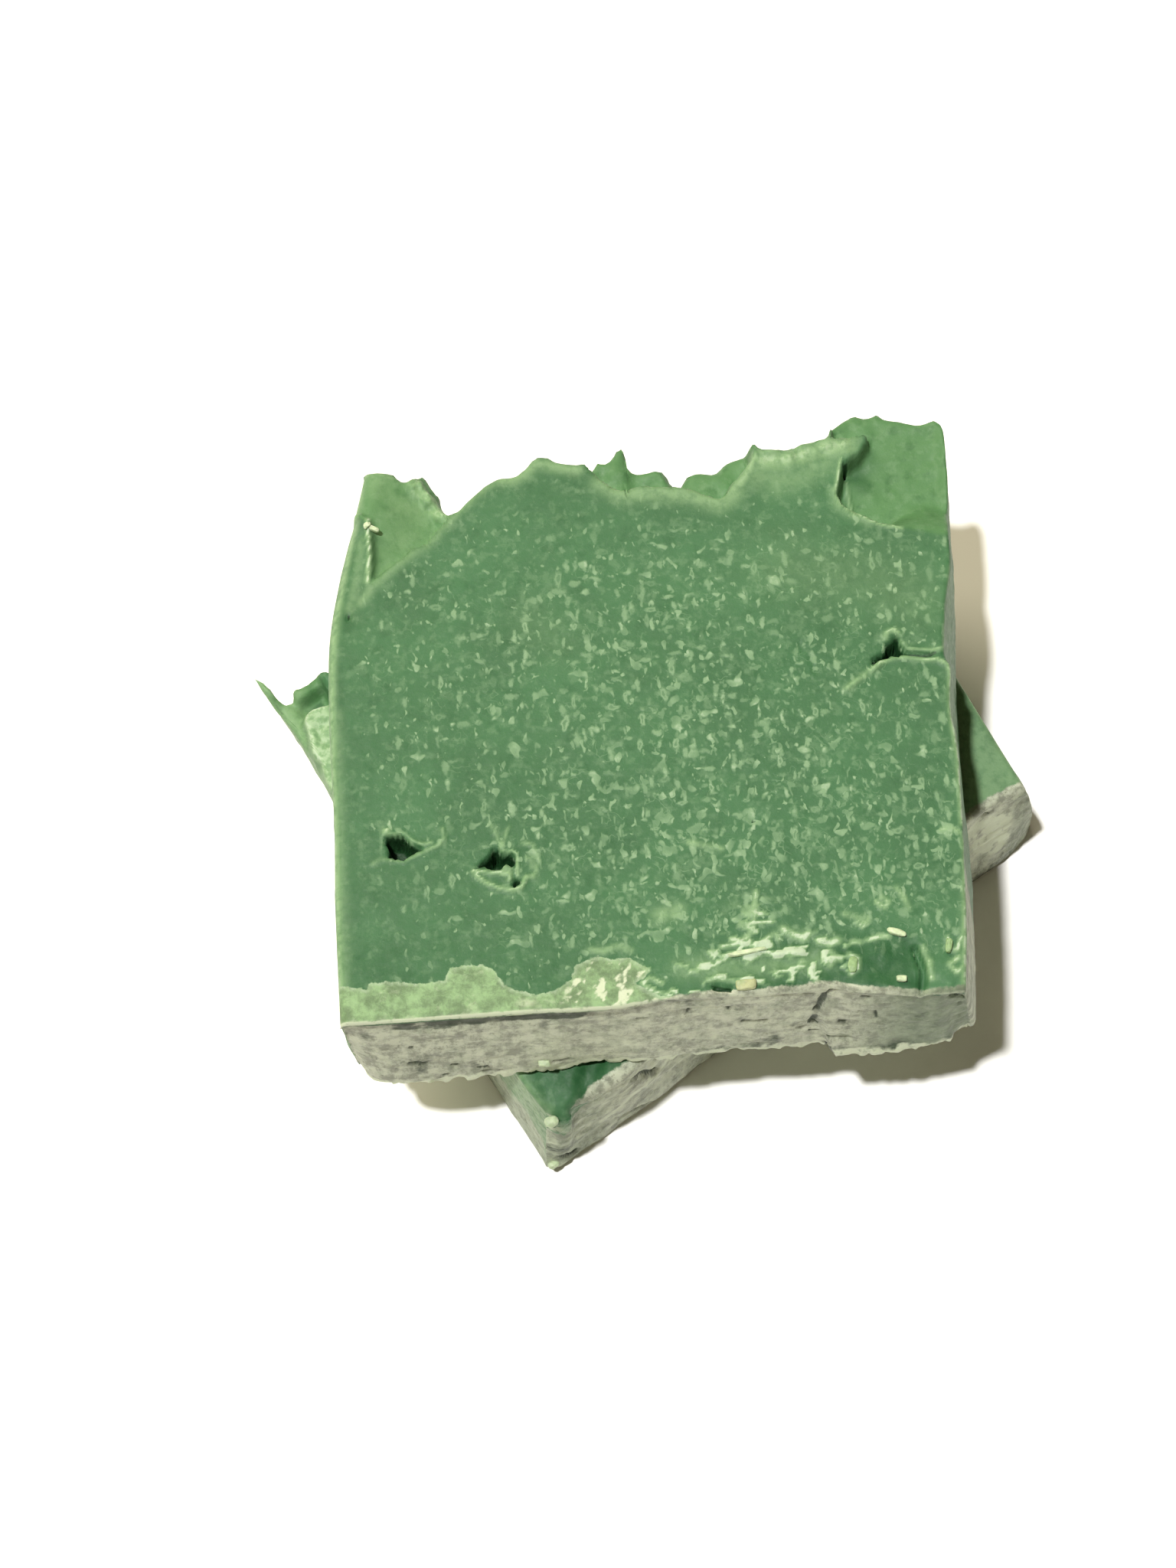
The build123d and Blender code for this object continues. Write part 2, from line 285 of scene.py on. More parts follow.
upper_sides = {
    "front": [(-37.8, -36.1), (-30.0, -36.1), (-23.4, -36.0), (-15.0, -35.9), (-5.8, -36.0),
              (0.0, -35.5), (6.0, -35.3), (12.7, -35.3), (18.0, -35.1), (21.6, -34.9),
              (24.5, -35.6), (28.5, -36.1), (32.4, -36.5), (37.7, -36.4)],
    "right": [(37.7, -36.4), (38.4, -30.0), (38.9, -22.6), (39.3, -14.5), (39.6, -5.6),
              (39.2, 0.0), (39.6, 5.2), (39.1, 7.5), (39.8, 14.0), (40.6, 17.5), (41.0, 20.5),
              (41.2, 25.0), (41.9, 30.8), (42.0, 35.6), (41.9, 39.0), (40.9, 40.6)],
    "back": [(-31.9, 37.7), (-30.3, 37.4), (-28.4, 37.2), (-27.6, 36.5), (-26.6, 36.3),
             (-25.4, 36.5), (-24.9, 36.8), (-24.5, 35.9), (-24.0, 34.7), (-23.1, 34.1),
             (-22.7, 32.8), (-22.0, 31.6), (-21.2, 30.2), (-20.3, 30.4), (-18.7, 31.9),
             (-16.7, 33.6), (-14.8, 34.5), (-12.9, 34.7), (-11.5, 35.7), (-10.0, 37.1),
             (-8.7, 37.0), (-7.3, 36.3), (-5.5, 35.9), (-4.2, 36.0), (-2.9, 37.0),
             (-2.2, 37.9), (-1.3, 37.8), (-0.4, 38.5), (0.4, 39.6), (1.2, 39.5), (1.4, 37.6),
             (2.2, 36.6), (3.7, 36.4), (5.5, 36.4), (6.3, 35.4), (6.9, 34.4), (8.3, 34.3),
             (9.3, 35.7), (10.9, 36.1), (12.7, 35.9), (14.2, 37.2), (16.0, 37.7), (17.5, 37.4),
             (18.6, 36.6), (20.4, 36.5), (21.9, 36.4), (23.7, 37.0), (25.7, 37.4),
             (27.0, 37.9), (27.7, 39.7), (29.1, 40.9), (30.7, 41.8), (32.1, 41.5),
             (33.8, 41.8), (34.7, 41.2), (37.0, 40.6), (39.1, 40.1), (40.9, 40.6)],
    "left": [(-37.8, -36.1), (-37.8, -28.0), (-37.8, -20.8), (-37.5, -10.2), (-37.6, -0.8),
             (-37.4, 10.1), (-36.8, 16.6), (-35.7, 22.5), (-34.6, 26.7), (-33.7, 30.2),
             (-32.9, 33.5), (-31.9, 37.7)],
}
upper_base_sides = {
    "front": [(-36.6, -34.2), (-35.6, -36.0), (-34.2, -37.1), (-32.5, -37.6), (-28.1, -37.6),
              (-18.4, -37.1), (-11.8, -36.7), (-6.3, -36.0), (0.9, -36.3), (6.0, -35.7),
              (15.2, -35.7), (22.0, -35.6), (23.2, -36.7), (30.0, -36.6), (37.4, -36.2),
              (38.6, -35.2), (40.6, -33.9)],
    "right": [(40.6, -33.9), (41.4, -32.6), (42.1, -24.6), (42.4, -19.5), (42.7, -12.3),
              (42.6, -4.0), (42.7, 3.0), (43.0, 11.0), (43.4, 17.0), (43.9, 22.7),
              (44.2, 28.0), (44.0, 34.0), (43.2, 38.5), (41.6, 40.6)],
    "back": [(-32.2, 37.0), (-28.4, 36.6), (-25.4, 35.2), (-22.6, 33.4), (-19.7, 33.0),
             (-14.8, 34.8), (-10.0, 36.4), (-5.5, 36.6), (-1.0, 37.3), (3.5, 36.8),
             (8.0, 36.0), (12.0, 36.6), (17.0, 37.5), (22.0, 37.2), (26.0, 38.2),
             (30.0, 40.6), (34.0, 41.5), (38.0, 41.2), (41.6, 40.6)],
    "left": [(-36.6, -34.2), (-38.3, -29.9), (-38.2, -20.8), (-37.9, -10.2), (-37.8, -0.8),
             (-37.5, 8.0), (-36.9, 14.6), (-35.9, 21.5), (-34.0, 30.0), (-32.2, 37.0)],
}

# Spoon marks: the ring, how far the floor lies below the cut, and how wide the step is.
left_mark = [(-38.0, 46.0), (-36.0, 32.6), (-34.2, 31.3), (-32.8, 30.5), (-31.9, 29.4),
             (-31.7, 27.7), (-31.6, 25.4), (-31.9, 22.5), (-32.1, 21.2), (-31.6, 20.7),
             (-28.9, 22.9), (-26.3, 25.1), (-24.4, 26.1), (-23.3, 27.2), (-22.4, 28.3),
             (-20.9, 29.9), (-20.6, 46.0)]
middle_mark = [(-5.0, 46.0), (-4.2, 36.0), (-3.4, 34.6), (-2.1, 33.3), (-0.8, 32.2),
               (0.3, 31.8), (3.3, 32.2), (5.1, 32.0), (7.3, 31.8), (9.6, 31.2),
               (11.0, 30.3), (12.7, 29.8), (13.6, 30.3), (14.9, 32.2), (16.4, 34.0),
               (17.2, 34.9), (17.6, 36.6), (18.2, 46.0)]
right_mark = [(26.6, 46.0), (27.3, 37.6), (29.5, 37.3), (31.7, 37.5), (31.8, 36.9),
              (30.5, 35.3), (29.3, 34.4), (28.4, 33.4), (27.7, 31.1), (27.3, 29.8),
              (27.9, 28.4), (29.1, 27.2), (31.2, 26.1), (32.8, 25.2), (35.4, 24.5),
              (38.0, 23.6), (46.0, 22.0), (46.0, 46.0)]

# Air pockets opened by the knife: ring and depth.
pockets = [
    ([(-31.3, -12.7), (-30.2, -12.5), (-29.0, -12.6), (-28.3, -13.6), (-27.5, -14.1),
      (-26.7, -14.4), (-27.8, -14.8), (-28.6, -15.4), (-29.2, -15.7), (-30.2, -15.5),
      (-31.1, -15.1), (-30.9, -14.1), (-31.3, -13.4)], 5.0),
    ([(-20.5, -17.3), (-19.6, -16.5), (-18.8, -15.9), (-18.2, -14.9), (-17.8, -14.8),
      (-17.3, -15.7), (-16.0, -15.7), (-15.6, -16.4), (-15.8, -17.4), (-16.8, -16.8),
      (-17.3, -17.5), (-18.6, -17.5), (-19.4, -17.1)], 5.0),
    ([(-16.2, -19.8), (-15.7, -18.9), (-15.2, -19.1), (-15.0, -19.4), (-15.8, -20.0)], 3.0),
    ([(32.8, 9.6), (33.2, 9.9), (33.6, 9.6), (33.6, 8.7), (34.1, 8.0), (34.5, 7.55),
      (33.5, 7.35), (32.8, 7.2), (32.5, 7.7), (32.2, 7.2), (31.6, 7.0), (30.6, 6.8),
      (29.9, 6.1), (29.2, 5.4), (30.0, 6.6), (30.2, 7.3), (30.9, 7.5), (31.5, 7.8),
      (31.8, 8.2), (31.9, 8.9), (32.6, 9.0)], 5.0),
    ([(34.0, 7.85), (35.1, 7.6), (36.2, 7.42), (37.3, 7.42), (38.1, 7.6), (38.0, 7.3),
      (37.3, 7.1), (36.2, 7.1), (35.1, 7.25), (34.0, 7.4)], 2.5),
    ([(28.5, 33.9), (29.4, 34.1), (29.1, 32.9), (28.6, 32.7)], 2.5),
    ([(7.1, -33.9), (9.6, -34.3), (9.5, -34.9), (7.2, -34.6)], 1.2),
    ([(13.4, -13.4), (13.8, -13.5), (14.2, -13.2), (13.8, -13.1), (13.7, -12.9)], 0.8),
    ([(-34.9, 17.3), (-34.4, 17.2), (-34.3, 16.5), (-34.7, 16.3)], 0.6),
]

# Proud ridges and torn lips: line, half width, rise and paleness.
ridges = [
    ([(-31.5, -12.3), (-29.0, -12.4), (-28.1, -13.3), (-26.7, -13.9), (-25.7, -13.7)],
     0.26, 0.30, 0.7),
    ([(-29.1, -15.9), (-27.6, -15.2), (-26.1, -14.6), (-24.8, -14.1), (-24.1, -13.2),
      (-24.3, -12.0)], 0.32, 0.30, 0.6),
    ([(-33.0, -16.1), (-32.0, -15.5), (-30.5, -15.6), (-29.2, -16.0)], 0.30, 0.2, 0.45),
    ([(-31.3, -11.9), (-30.9, -11.8)], 0.35, 0.45, 1.3),
    ([(-20.8, -17.7), (-19.2, -17.9), (-17.6, -18.1), (-16.9, -18.3)], 0.34, 0.40, 1.1),
    ([(-17.1, -17.3), (-16.3, -17.9), (-16.5, -19.1)], 0.40, 0.35, 0.8),
    ([(-20.5, -18.2), (-19.3, -19.3), (-17.7, -20.1), (-16.0, -20.4), (-15.0, -20.1),
      (-14.5, -18.9), (-13.5, -18.8)], 0.34, 0.40, 0.95),
    ([(-18.3, -12.0), (-17.7, -13.1), (-17.4, -14.2), (-17.2, -15.0)], 0.26, 0.2, 0.7),
    ([(-16.2, -12.3), (-16.6, -13.1), (-17.0, -14.7)], 0.26, 0.2, 0.7),
    ([(-17.2, -15.3), (-16.0, -15.35), (-15.4, -15.8), (-15.4, -18.6)], 0.24, 0.25, 0.75),
    ([(-14.5, -14.4), (-13.5, -14.7), (-13.0, -15.7), (-12.9, -17.1), (-13.3, -18.4)],
     0.28, 0.15, 0.6),
    ([(-14.2, -16.3), (-13.6, -16.7), (-13.6, -17.7)], 0.3, 0.1, 0.55),
    ([(31.8, 9.6), (32.1, 10.5), (33.0, 10.8), (33.8, 10.0)], 0.36, 0.35, 1.0),
    ([(33.9, 9.2), (34.5, 8.2), (35.8, 7.95), (37.7, 7.8), (39.0, 8.0)], 0.30, 0.25, 0.8),
    ([(26.6, 3.3), (28.4, 4.7), (30.0, 5.7), (30.9, 6.45)], 0.50, 0.35, 0.75),
    ([(30.0, 5.7), (30.9, 6.45), (32.4, 6.95), (33.9, 7.1), (35.4, 6.8), (36.7, 6.5),
      (38.1, 6.5), (39.3, 5.8), (39.5, 4.3)], 0.32, 0.30, 1.0),
    ([(21.1, 9.9), (21.5, 8.6)], 0.22, -0.35, 0.0),
    ([(22.3, 8.0), (22.9, 5.6)], 0.22, -0.35, 0.0),
    ([(28.3, 34.2), (27.6, 31.1), (27.2, 29.8), (27.8, 28.2), (29.1, 27.0), (31.2, 25.9),
      (32.8, 25.1), (35.2, 24.5)], 0.30, 0.22, 1.0),
    ([(29.1, 32.4), (29.2, 30.0), (29.4, 27.9)], 0.28, 0.4, 0.8),
    ([(-32.1, 21.3), (-31.85, 22.8), (-31.6, 25.4), (-31.7, 27.7), (-31.65, 30.2)],
     0.34, 0.16, 1.3),
    ([(9.3, -30.3), (11.0, -30.05), (13.7, -30.15), (15.9, -30.6), (18.3, -30.5)],
     0.34, 0.40, 1.25),
    ([(8.6, -29.2), (10.6, -28.9), (12.4, -29.2)], 0.35, 0.25, 0.9),
    ([(10.5, -28.9), (12.0, -28.1), (12.6, -26.8), (13.0, -24.6), (13.3, -22.5)],
     0.42, 0.20, 0.75),
    ([(11.7, -26.3), (13.4, -26.45), (15.0, -26.4)], 0.26, 0.25, 1.15),
    ([(16.2, -27.4), (17.4, -28.1), (18.6, -28.7), (19.2, -28.2)], 0.55, 0.25, 0.95),
    ([(12.6, -29.4), (14.2, -28.5), (15.2, -27.9), (15.8, -28.6)], 0.35, 0.2, 0.8),
    ([(6.5, -33.3), (7.8, -33.2), (10.2, -33.6), (11.9, -33.2)], 0.30, 0.35, 1.0),
    ([(20.6, -29.2), (21.8, -29.5), (22.8, -29.2)], 0.55, 0.15, 0.95),
    ([(24.4, -29.5), (25.6, -29.6)], 0.3, 0.15, 0.9),
    ([(26.3, -29.4), (27.6, -29.05), (28.9, -29.0)], 0.30, 0.25, 1.1),
    ([(21.6, -32.2), (22.2, -31.2), (21.6, -30.6)], 0.5, 0.15, 0.75),
    ([(17.6, -32.4), (18.2, -31.4), (19.4, -32.4)], 0.45, 0.15, 0.7),
    ([(24.0, -31.2), (24.9, -31.7), (24.8, -32.9), (24.1, -33.4)], 0.42, 0.3, 1.05),
    ([(33.0, -30.6), (33.6, -32.6), (33.7, -34.6)], 0.40, 0.2, 0.85),
    ([(36.0, -29.6), (36.5, -31.2), (37.1, -31.2), (37.7, -29.6)], 0.26, 0.2, 1.2),
    ([(37.2, -32.2), (36.0, -33.0), (36.8, -34.0), (37.7, -33.4)], 0.4, 0.2, 0.8),
    ([(2.2, -35.0), (-0.4, -34.2), (-1.2, -33.2), (-0.2, -32.6), (1.2, -33.4)],
     0.30, 0.25, 1.25),
    ([(-7.2, -28.6), (-5.6, -28.9), (-4.0, -28.4), (-2.4, -29.0)], 0.5, 0.1, 0.7),
    ([(23.8, -25.9), (25.2, -26.3), (26.2, -27.2)], 0.40, 0.1, 0.95),
    ([(25.2, -26.9), (25.9, -27.7), (26.7, -27.0), (26.3, -26.2)], 0.28, 0.1, 0.9),
    ([(27.8, -24.6), (28.8, -25.4), (29.4, -24.7), (28.6, -24.0)], 0.34, 0.15, 1.0),
    ([(30.4, -23.0), (31.2, -24.2), (31.6, -25.6)], 0.42, 0.1, 0.85),
    ([(5.7, -15.6), (7.6, -16.1), (9.6, -16.6)], 0.42, 0.1, 0.75),
]

# Soft pale or yellowish areas on the cut: line, half width and strength.
pale_areas = [
    ([(-33.0, 18.6), (-31.6, 20.4), (-28.9, 22.7), (-26.3, 24.8), (-24.4, 25.8), (-22.2, 28.0),
      (-20.7, 29.7), (-18.7, 31.6), (-16.7, 33.2), (-14.8, 34.1)], 0.7, 0.45),
    ([(-14.8, 34.0), (-12.9, 34.2), (-10.0, 36.2), (-7.3, 35.5), (-5.0, 35.0)], 0.9, 0.65),
    ([(-2.0, 33.0), (0.3, 31.3), (5.1, 31.3), (9.6, 30.5), (12.7, 29.3), (14.6, 30.6)],
     1.3, 0.65),
    ([(14.6, 31.0), (16.4, 33.2), (17.6, 35.6)], 0.7, 0.8),
    ([(18.6, 35.0), (21.5, 34.8), (24.5, 35.8), (29.0, 36.4)], 1.7, 0.85),
    ([(17.4, 33.0), (20.0, 31.5), (23.5, 32.5), (26.2, 34.0)], 1.8, 0.4),
    ([(27.0, 30.0), (27.4, 28.2), (29.0, 26.8), (31.2, 25.6)], 0.7, 0.4),
    ([(-37.6, -36.0), (-37.4, -10.2), (-37.3, -0.8), (-37.0, 10.1), (-36.3, 17.0),
      (-35.0, 23.0), (-33.8, 28.0), (-32.6, 35.0)], 0.60, 0.8),
    ([(-37.0, -36.0), (-36.8, -10.2), (-36.6, 4.0)], 0.8, 0.3),
    ([(-34.4, 18.0), (-33.2, 22.0), (-32.6, 27.0)], 0.8, 0.35),
    ([(-33.0, 32.6), (-32.0, 37.2), (-28.6, 36.6)], 0.5, 0.6),
    ([(41.0, 19.0), (39.8, 12.0), (39.2, 8.2)], 0.40, 0.55),
    ([(39.6, 5.4), (39.1, -0.4), (39.5, -6.0), (39.2, -15.0)], 0.38, 1.0),
    ([(39.4, -16.7), (39.1, -20.6), (38.4, -27.6), (37.6, -36.0)], 0.42, 1.0),
    ([(36.6, -15.7), (37.8, -15.6), (38.8, -16.2)], 0.26, 1.0),
    ([(1.5, -24.7), (3.6, -24.2)], 1.1, 0.6),
    ([(4.0, -31.5), (11.0, -32.0), (20.0, -31.5)], 1.5, 0.40),
    ([(-12.0, 15.0), (-9.0, 12.0)], 3.0, 0.10),
    ([(20.0, 20.0), (30.0, 18.0), (36.0, 15.0)], 4.5, 0.16),
]

band_edge = [(-45.0, -31.2), (-37.9, -31.2), (-36.0, -31.6), (-34.3, -31.9), (-34.0, -31.2),
             (-31.3, -31.1), (-27.4, -31.6), (-25.0, -31.3), (-24.2, -29.9), (-22.9, -29.6),
             (-20.3, -29.7), (-18.9, -30.5), (-17.8, -32.2), (-16.6, -33.1), (-14.0, -33.8),
             (-11.7, -33.4), (-9.8, -32.2), (-9.2, -30.4), (-6.3, -29.4), (-4.7, -30.0),
             (-2.6, -29.9), (-1.5, -30.6), (-0.2, -31.4), (-0.8, -32.6), (-2.2, -33.0),
             (-1.0, -33.9), (0.6, -34.8), (3.4, -35.3), (4.0, -46.0), (-45.0, -46.0)]


def drop(far, radius):
    """How far a rounded edge falls at a distance from the rim: a quarter circle."""
    short = np.clip(1 - far / radius, 0, 1)
    return radius * (1 - np.sqrt(1 - short ** 2))


def upper_top(plan, rim):
    """The upper slice's cut: flat, with shallow waves, less a smooth step down into each
    spoon mark and each pocket, plus a bell-shaped ridge along each lip, less a quarter
    circle along each edge. The marks are fields for the finish."""
    p3 = np.column_stack([plan, np.zeros(len(plan))])
    x, y = plan.T
    z = np.full(len(plan), CUT_TOP)
    z += 0.10 * cloud(p3, 16, 3) + 0.05 * cloud(p3, 4.5, 5) + 0.02 * rubble(p3, 1.4, 7, 2) - 0.12
    wob = 0.18 * rubble(p3, 1.3, 11, 2)
    # spoon marks
    left_in = inside(plan, left_mark) + wob
    mid_in = inside(plan, middle_mark) + wob
    right_in = inside(plan, right_mark) + wob
    step = 0.9 + 5.0 * rise(x, 32.5, 39.0)
    left_floor = 1.3 + 2.6 * np.clip((x + 31.6) / 8.0, 0, 1) + 0.6 * rise(y, 31, 37) \
        + 0.25 * cloud(p3, 4.0, 21)
    mid_floor = 5.0 + 0.5 * rubble(p3, 2.6, 23, 2)
    right_floor = 3.6 - 0.5 * rise(y, 30, 41) + 0.3 * cloud(p3, 5.0, 25) \
        + 0.12 * rubble(p3, 1.6, 27, 2)
    z -= left_floor * rise(left_in, 0.0, 1.0)
    z -= 0.28 * np.clip(-31.6 - x, 0, 4) * rise(y, 12, 22) * (1 - rise(left_in, -0.5, 0.5))
    z -= 1.3 * rise(y, 26.5, 31.0) * rise(x, -31.2, -32.4) * (1 - rise(left_in, -0.5, 0.5))
    z -= mid_floor * rise(mid_in, 0.0, 1.1)
    z -= right_floor * rise(right_in / step, 0.0, 1.0)
    marks_in = most(left_in, mid_in, right_in)
    curd = near(plan, [(-25.6, 35.8), (-24.0, 33.4), (-22.2, 31.2)], 1.6, 0.5)
    z += curd * (0.8 + 0.8 * rubble(p3, 1.1, 29, 2))
    left_tone = 0.20 + 0.30 * cloud(p3, 2.4, 35)
    pale = most(
        np.zeros(len(plan)),
        curd * (0.75 + 0.3 * rubble(p3, 0.9, 31, 2)),
        left_tone * rise(left_in, 0.3, 1.0) * rise(y, 40, 36),
    )
    crest = hump(reach(plan, [(17.5, 36.2), (22.0, 35.4), (27.0, 36.8), (29.5, 36.6)]), 1.5)
    z += 0.45 * crest * rubble(p3, 1.2, 36, 3)
    # pockets; deep marks where they are painted near-black inside as painted shade
    deep = np.full(len(plan), -2.0)
    sunk = np.zeros(len(plan))
    for ring, depth in pockets:
        within = inside(plan, ring)
        hole = rise(within, -0.10, 0.40 if depth > 2 else 0.22)
        z -= depth * hole
        sunk = np.maximum(sunk, hole)
        deep = np.maximum(deep, within if depth > 2 else within - 0.02)
    for line in ([(21.1, 9.9), (21.5, 8.6)], [(22.3, 8.0), (22.9, 5.6)]):
        deep = np.maximum(deep, -0.02 - 0.5 * reach(plan, line))
    crack = [(33.9, 7.6), (35.1, 7.45), (36.2, 7.28), (37.3, 7.27), (38.0, 7.45)]
    deep = np.maximum(deep, 0.20 - reach(plan, crack))
    # ridges
    grit = rubble(p3, 1.0, 33, 2)
    for line, half, up, tint in ridges:
        ridge = hump(reach(plan, line) + 0.10 * grit, 0.82 * half) * (1 - sunk)
        ridge *= np.clip(0.85 + 0.55 * grit, 0, 1.2)
        z += up * ridge
        crisp = 1.35 if line[0][1] < -26 and line[0][0] > 5 else 1.0
        pale = np.maximum(pale, crisp * tint * np.clip(1.2 * ridge, 0, 1))
    for line, half, tint in pale_areas:
        pale = np.maximum(pale, tint * hump(reach(plan, line), half))
    # edges
    front_far = reach(plan, rim["front"][::3])
    left_far = reach(plan, rim["left"][::3])
    right_far = reach(plan, rim["right"][::3])
    back_far = reach(plan, rim["back"][::2])
    torn = rise(x, 1.0, 10.0)
    z -= drop(front_far + 0.15 * torn * rubble(p3, 1.5, 41, 2), 0.4 + 0.5 * torn)
    z -= drop(left_far, 1.2 + 1.4 * rise(y, 8, 30))
    z -= drop(right_far + 0.1 * cloud(p3, 1.5, 43), 0.55)
    z -= drop(back_far + 0.1 * cloud(p3, 0.9, 45), 0.8)
    # torn front right
    rough = rise(x, 8, 16) * rise(y, -26.5, -31.0)
    z -= rough * (0.15 + 0.22 * rubble(p3, 2.2, 47, 3))
    flaky = rubble(p3 * [0.75, 1.25, 1], 1.0, 51, 2)
    shreds = rise(flaky, 0.30, 0.46) * (
        rise(x, 5, 9) * rise(x, 26, 22) * rise(y, -27.0, -29.5) * rise(y, -34.6, -33.4)
        + 0.8 * spot(x, y, 13.0, -26.2, 2.6, 2.2)
        + 0.8 * rise(x, -3, 1) * rise(x, 9, 5) * rise(y, -30.0, -31.6))
    z += 0.28 * shreds
    pale = np.maximum(pale, shreds * (1.45 + 0.5 * cloud(p3, 1.7, 53)))
    cleft = reach(plan, [(32.0, -30.8), (32.8, -33.8), (32.3, -36.8)])
    z -= 0.9 * rise(cleft, 0.55, 0.1)
    band = inside(plan, band_edge)
    clean = np.clip(1 - pale, 0, 1)
    dark_and_shade = most(
        0.5 * near(plan, [(-34.7, 17.2), (-34.8, 15.0)], 1.0, 0.2),
        0.35 * near(plan, [(-36.2, 8.0), (-36.0, 2.0)], 1.0, 0.2),
        0.45 * near(plan, [(30.5, 33.8), (31.5, 31.8)], 1.8, 0.3),
        0.5 * near(plan, [(22.2, -34.0), (24.0, -34.1)], 0.9, 0.2),
        # painted shade in and around the cleft
        0.45 * rise(cleft, 1.3, 0.3),
        0.72 * rise(y, -27.5, -30.5) * rise(x, 7, 15) * rise(x, 33.5, 31) * clean,
        0.85 * spot(x, y, 29.8, -31.8, 2.9, 2.7) * clean,
        0.80 * spot(x, y, 23.6, -34.3, 1.8, 1.0) * clean,
        0.45 * near(plan, [(9.0, -29.9), (18.0, -29.9)], 0.9, 0.3) * clean,
        0.25 * rise(y, -22.0, -32.0) * rise(x, 2, -24),
    )
    flecks = 0.45 + 0.65 * spot(x, y, 8, -2, 28, 26)
    flecks += 0.25 * rise(x, -5, 15) * rise(y, 2, -22)
    flecks *= rise(x, -37, -29) * (1 - 0.75 * rise(y, 20, 32)) * rise(y, -36, -29)
    flecks *= 1 - rise(marks_in, -0.6, 0.4)
    flecks *= 1 - 0.50 * rise(x, -12, -30) * rise(y, -8, -18)
    flecks += 0.25 * rise(x, -24, -12) * rise(y, -6, -14) * rise(y, -32, -26)
    white = rise(rubble(p3, 1.1, 55, 3), 0.0, 0.6)
    lip = most(
        1.1 * rise(front_far, 0.42, 0.08) * rise(x, 0.5, -3.0),
        0.55 * rise(front_far, 0.30, 0.05) * rise(x, 4, 9),
        rise(band, 0.1, 0.6) * white * (0.40 + 0.75 * rise(x, -12, -8)),
        0.60 * spot(x, y, -15.3, -34.8, 1.9, 0.8),
    )
    ash = 0.55 * rise(x, 0, 6) - front_far + 0.15
    return z, {"pale": pale, "band": band, "deep": deep, "dark_and_shade": dark_and_shade, "fleck": flecks,
               "ash": np.where(front_far < 3, ash, -5.0), "low": rise(marks_in, -0.2, 0.6), "lip": lip,
               "grey": 1 - 0.7 * rise(x, 27, 34)}


slits = [
    ([(-31.0, 34.4), (-29.8, 33.9), (-28.4, 33.2)], 0.55),
    ([(-33.5, 34.2), (-31.0, 34.4)], 0.22),
    ([(-25.6, 31.8), (-23.0, 30.9)], 0.26), ([(-21.4, 30.0), (-20.4, 29.7)], 0.6),
    ([(-21.0, 28.3), (-18.8, 27.9)], 0.4), ([(-26.2, 28.5), (-25.6, 28.4)], 0.5),
    ([(-23.2, 28.0), (-22.6, 28.0)], 0.4), ([(-15.4, 39.5), (-14.6, 39.4)], 0.4),
    ([(-3.6, 42.6), (-0.8, 43.1)], 0.45), ([(-31.8, 40.2), (-29.4, 38.8)], 0.2),
    ([(4.3, 43.8), (6.6, 43.1), (9.9, 43.7)], 0.20), ([(11.3, 38.2), (14.0, 37.9)], 0.5),
    ([(18.6, 47.0), (19.8, 47.2)], 0.5), ([(22.0, 48.6), (21.0, 46.6)], 0.8),
    ([(20.9, 46.6), (20.6, 42.5), (20.3, 40.0)], 0.75), ([(20.2, 38.0), (19.8, 34.8)], 0.8),
    ([(17.8, 33.2), (20.6, 34.6)], 0.7), ([(19.8, 32.0), (21.8, 31.6), (25.8, 31.0)], 0.55),
    ([(23.2, 36.8), (25.6, 37.6)], 0.6), ([(24.4, 35.0), (25.8, 35.1)], 0.4),
    ([(24.2, 40.6), (24.6, 40.5)], 0.3), ([(27.0, 41.6), (27.6, 38.4)], 0.5),
    ([(25.4, 46.6), (27.4, 46.2)], 0.4), ([(22.0, 27.6), (22.6, 25.4)], 0.6),
    ([(36.5, 46.5), (39.0, 44.5)], 0.9), ([(37.5, 42.0), (39.5, 40.5)], 0.6),
    ([(-12.0, 29.5), (-10.6, 29.2)], 0.5), ([(-6.0, 31.0), (-4.8, 31.2)], 0.4),
]


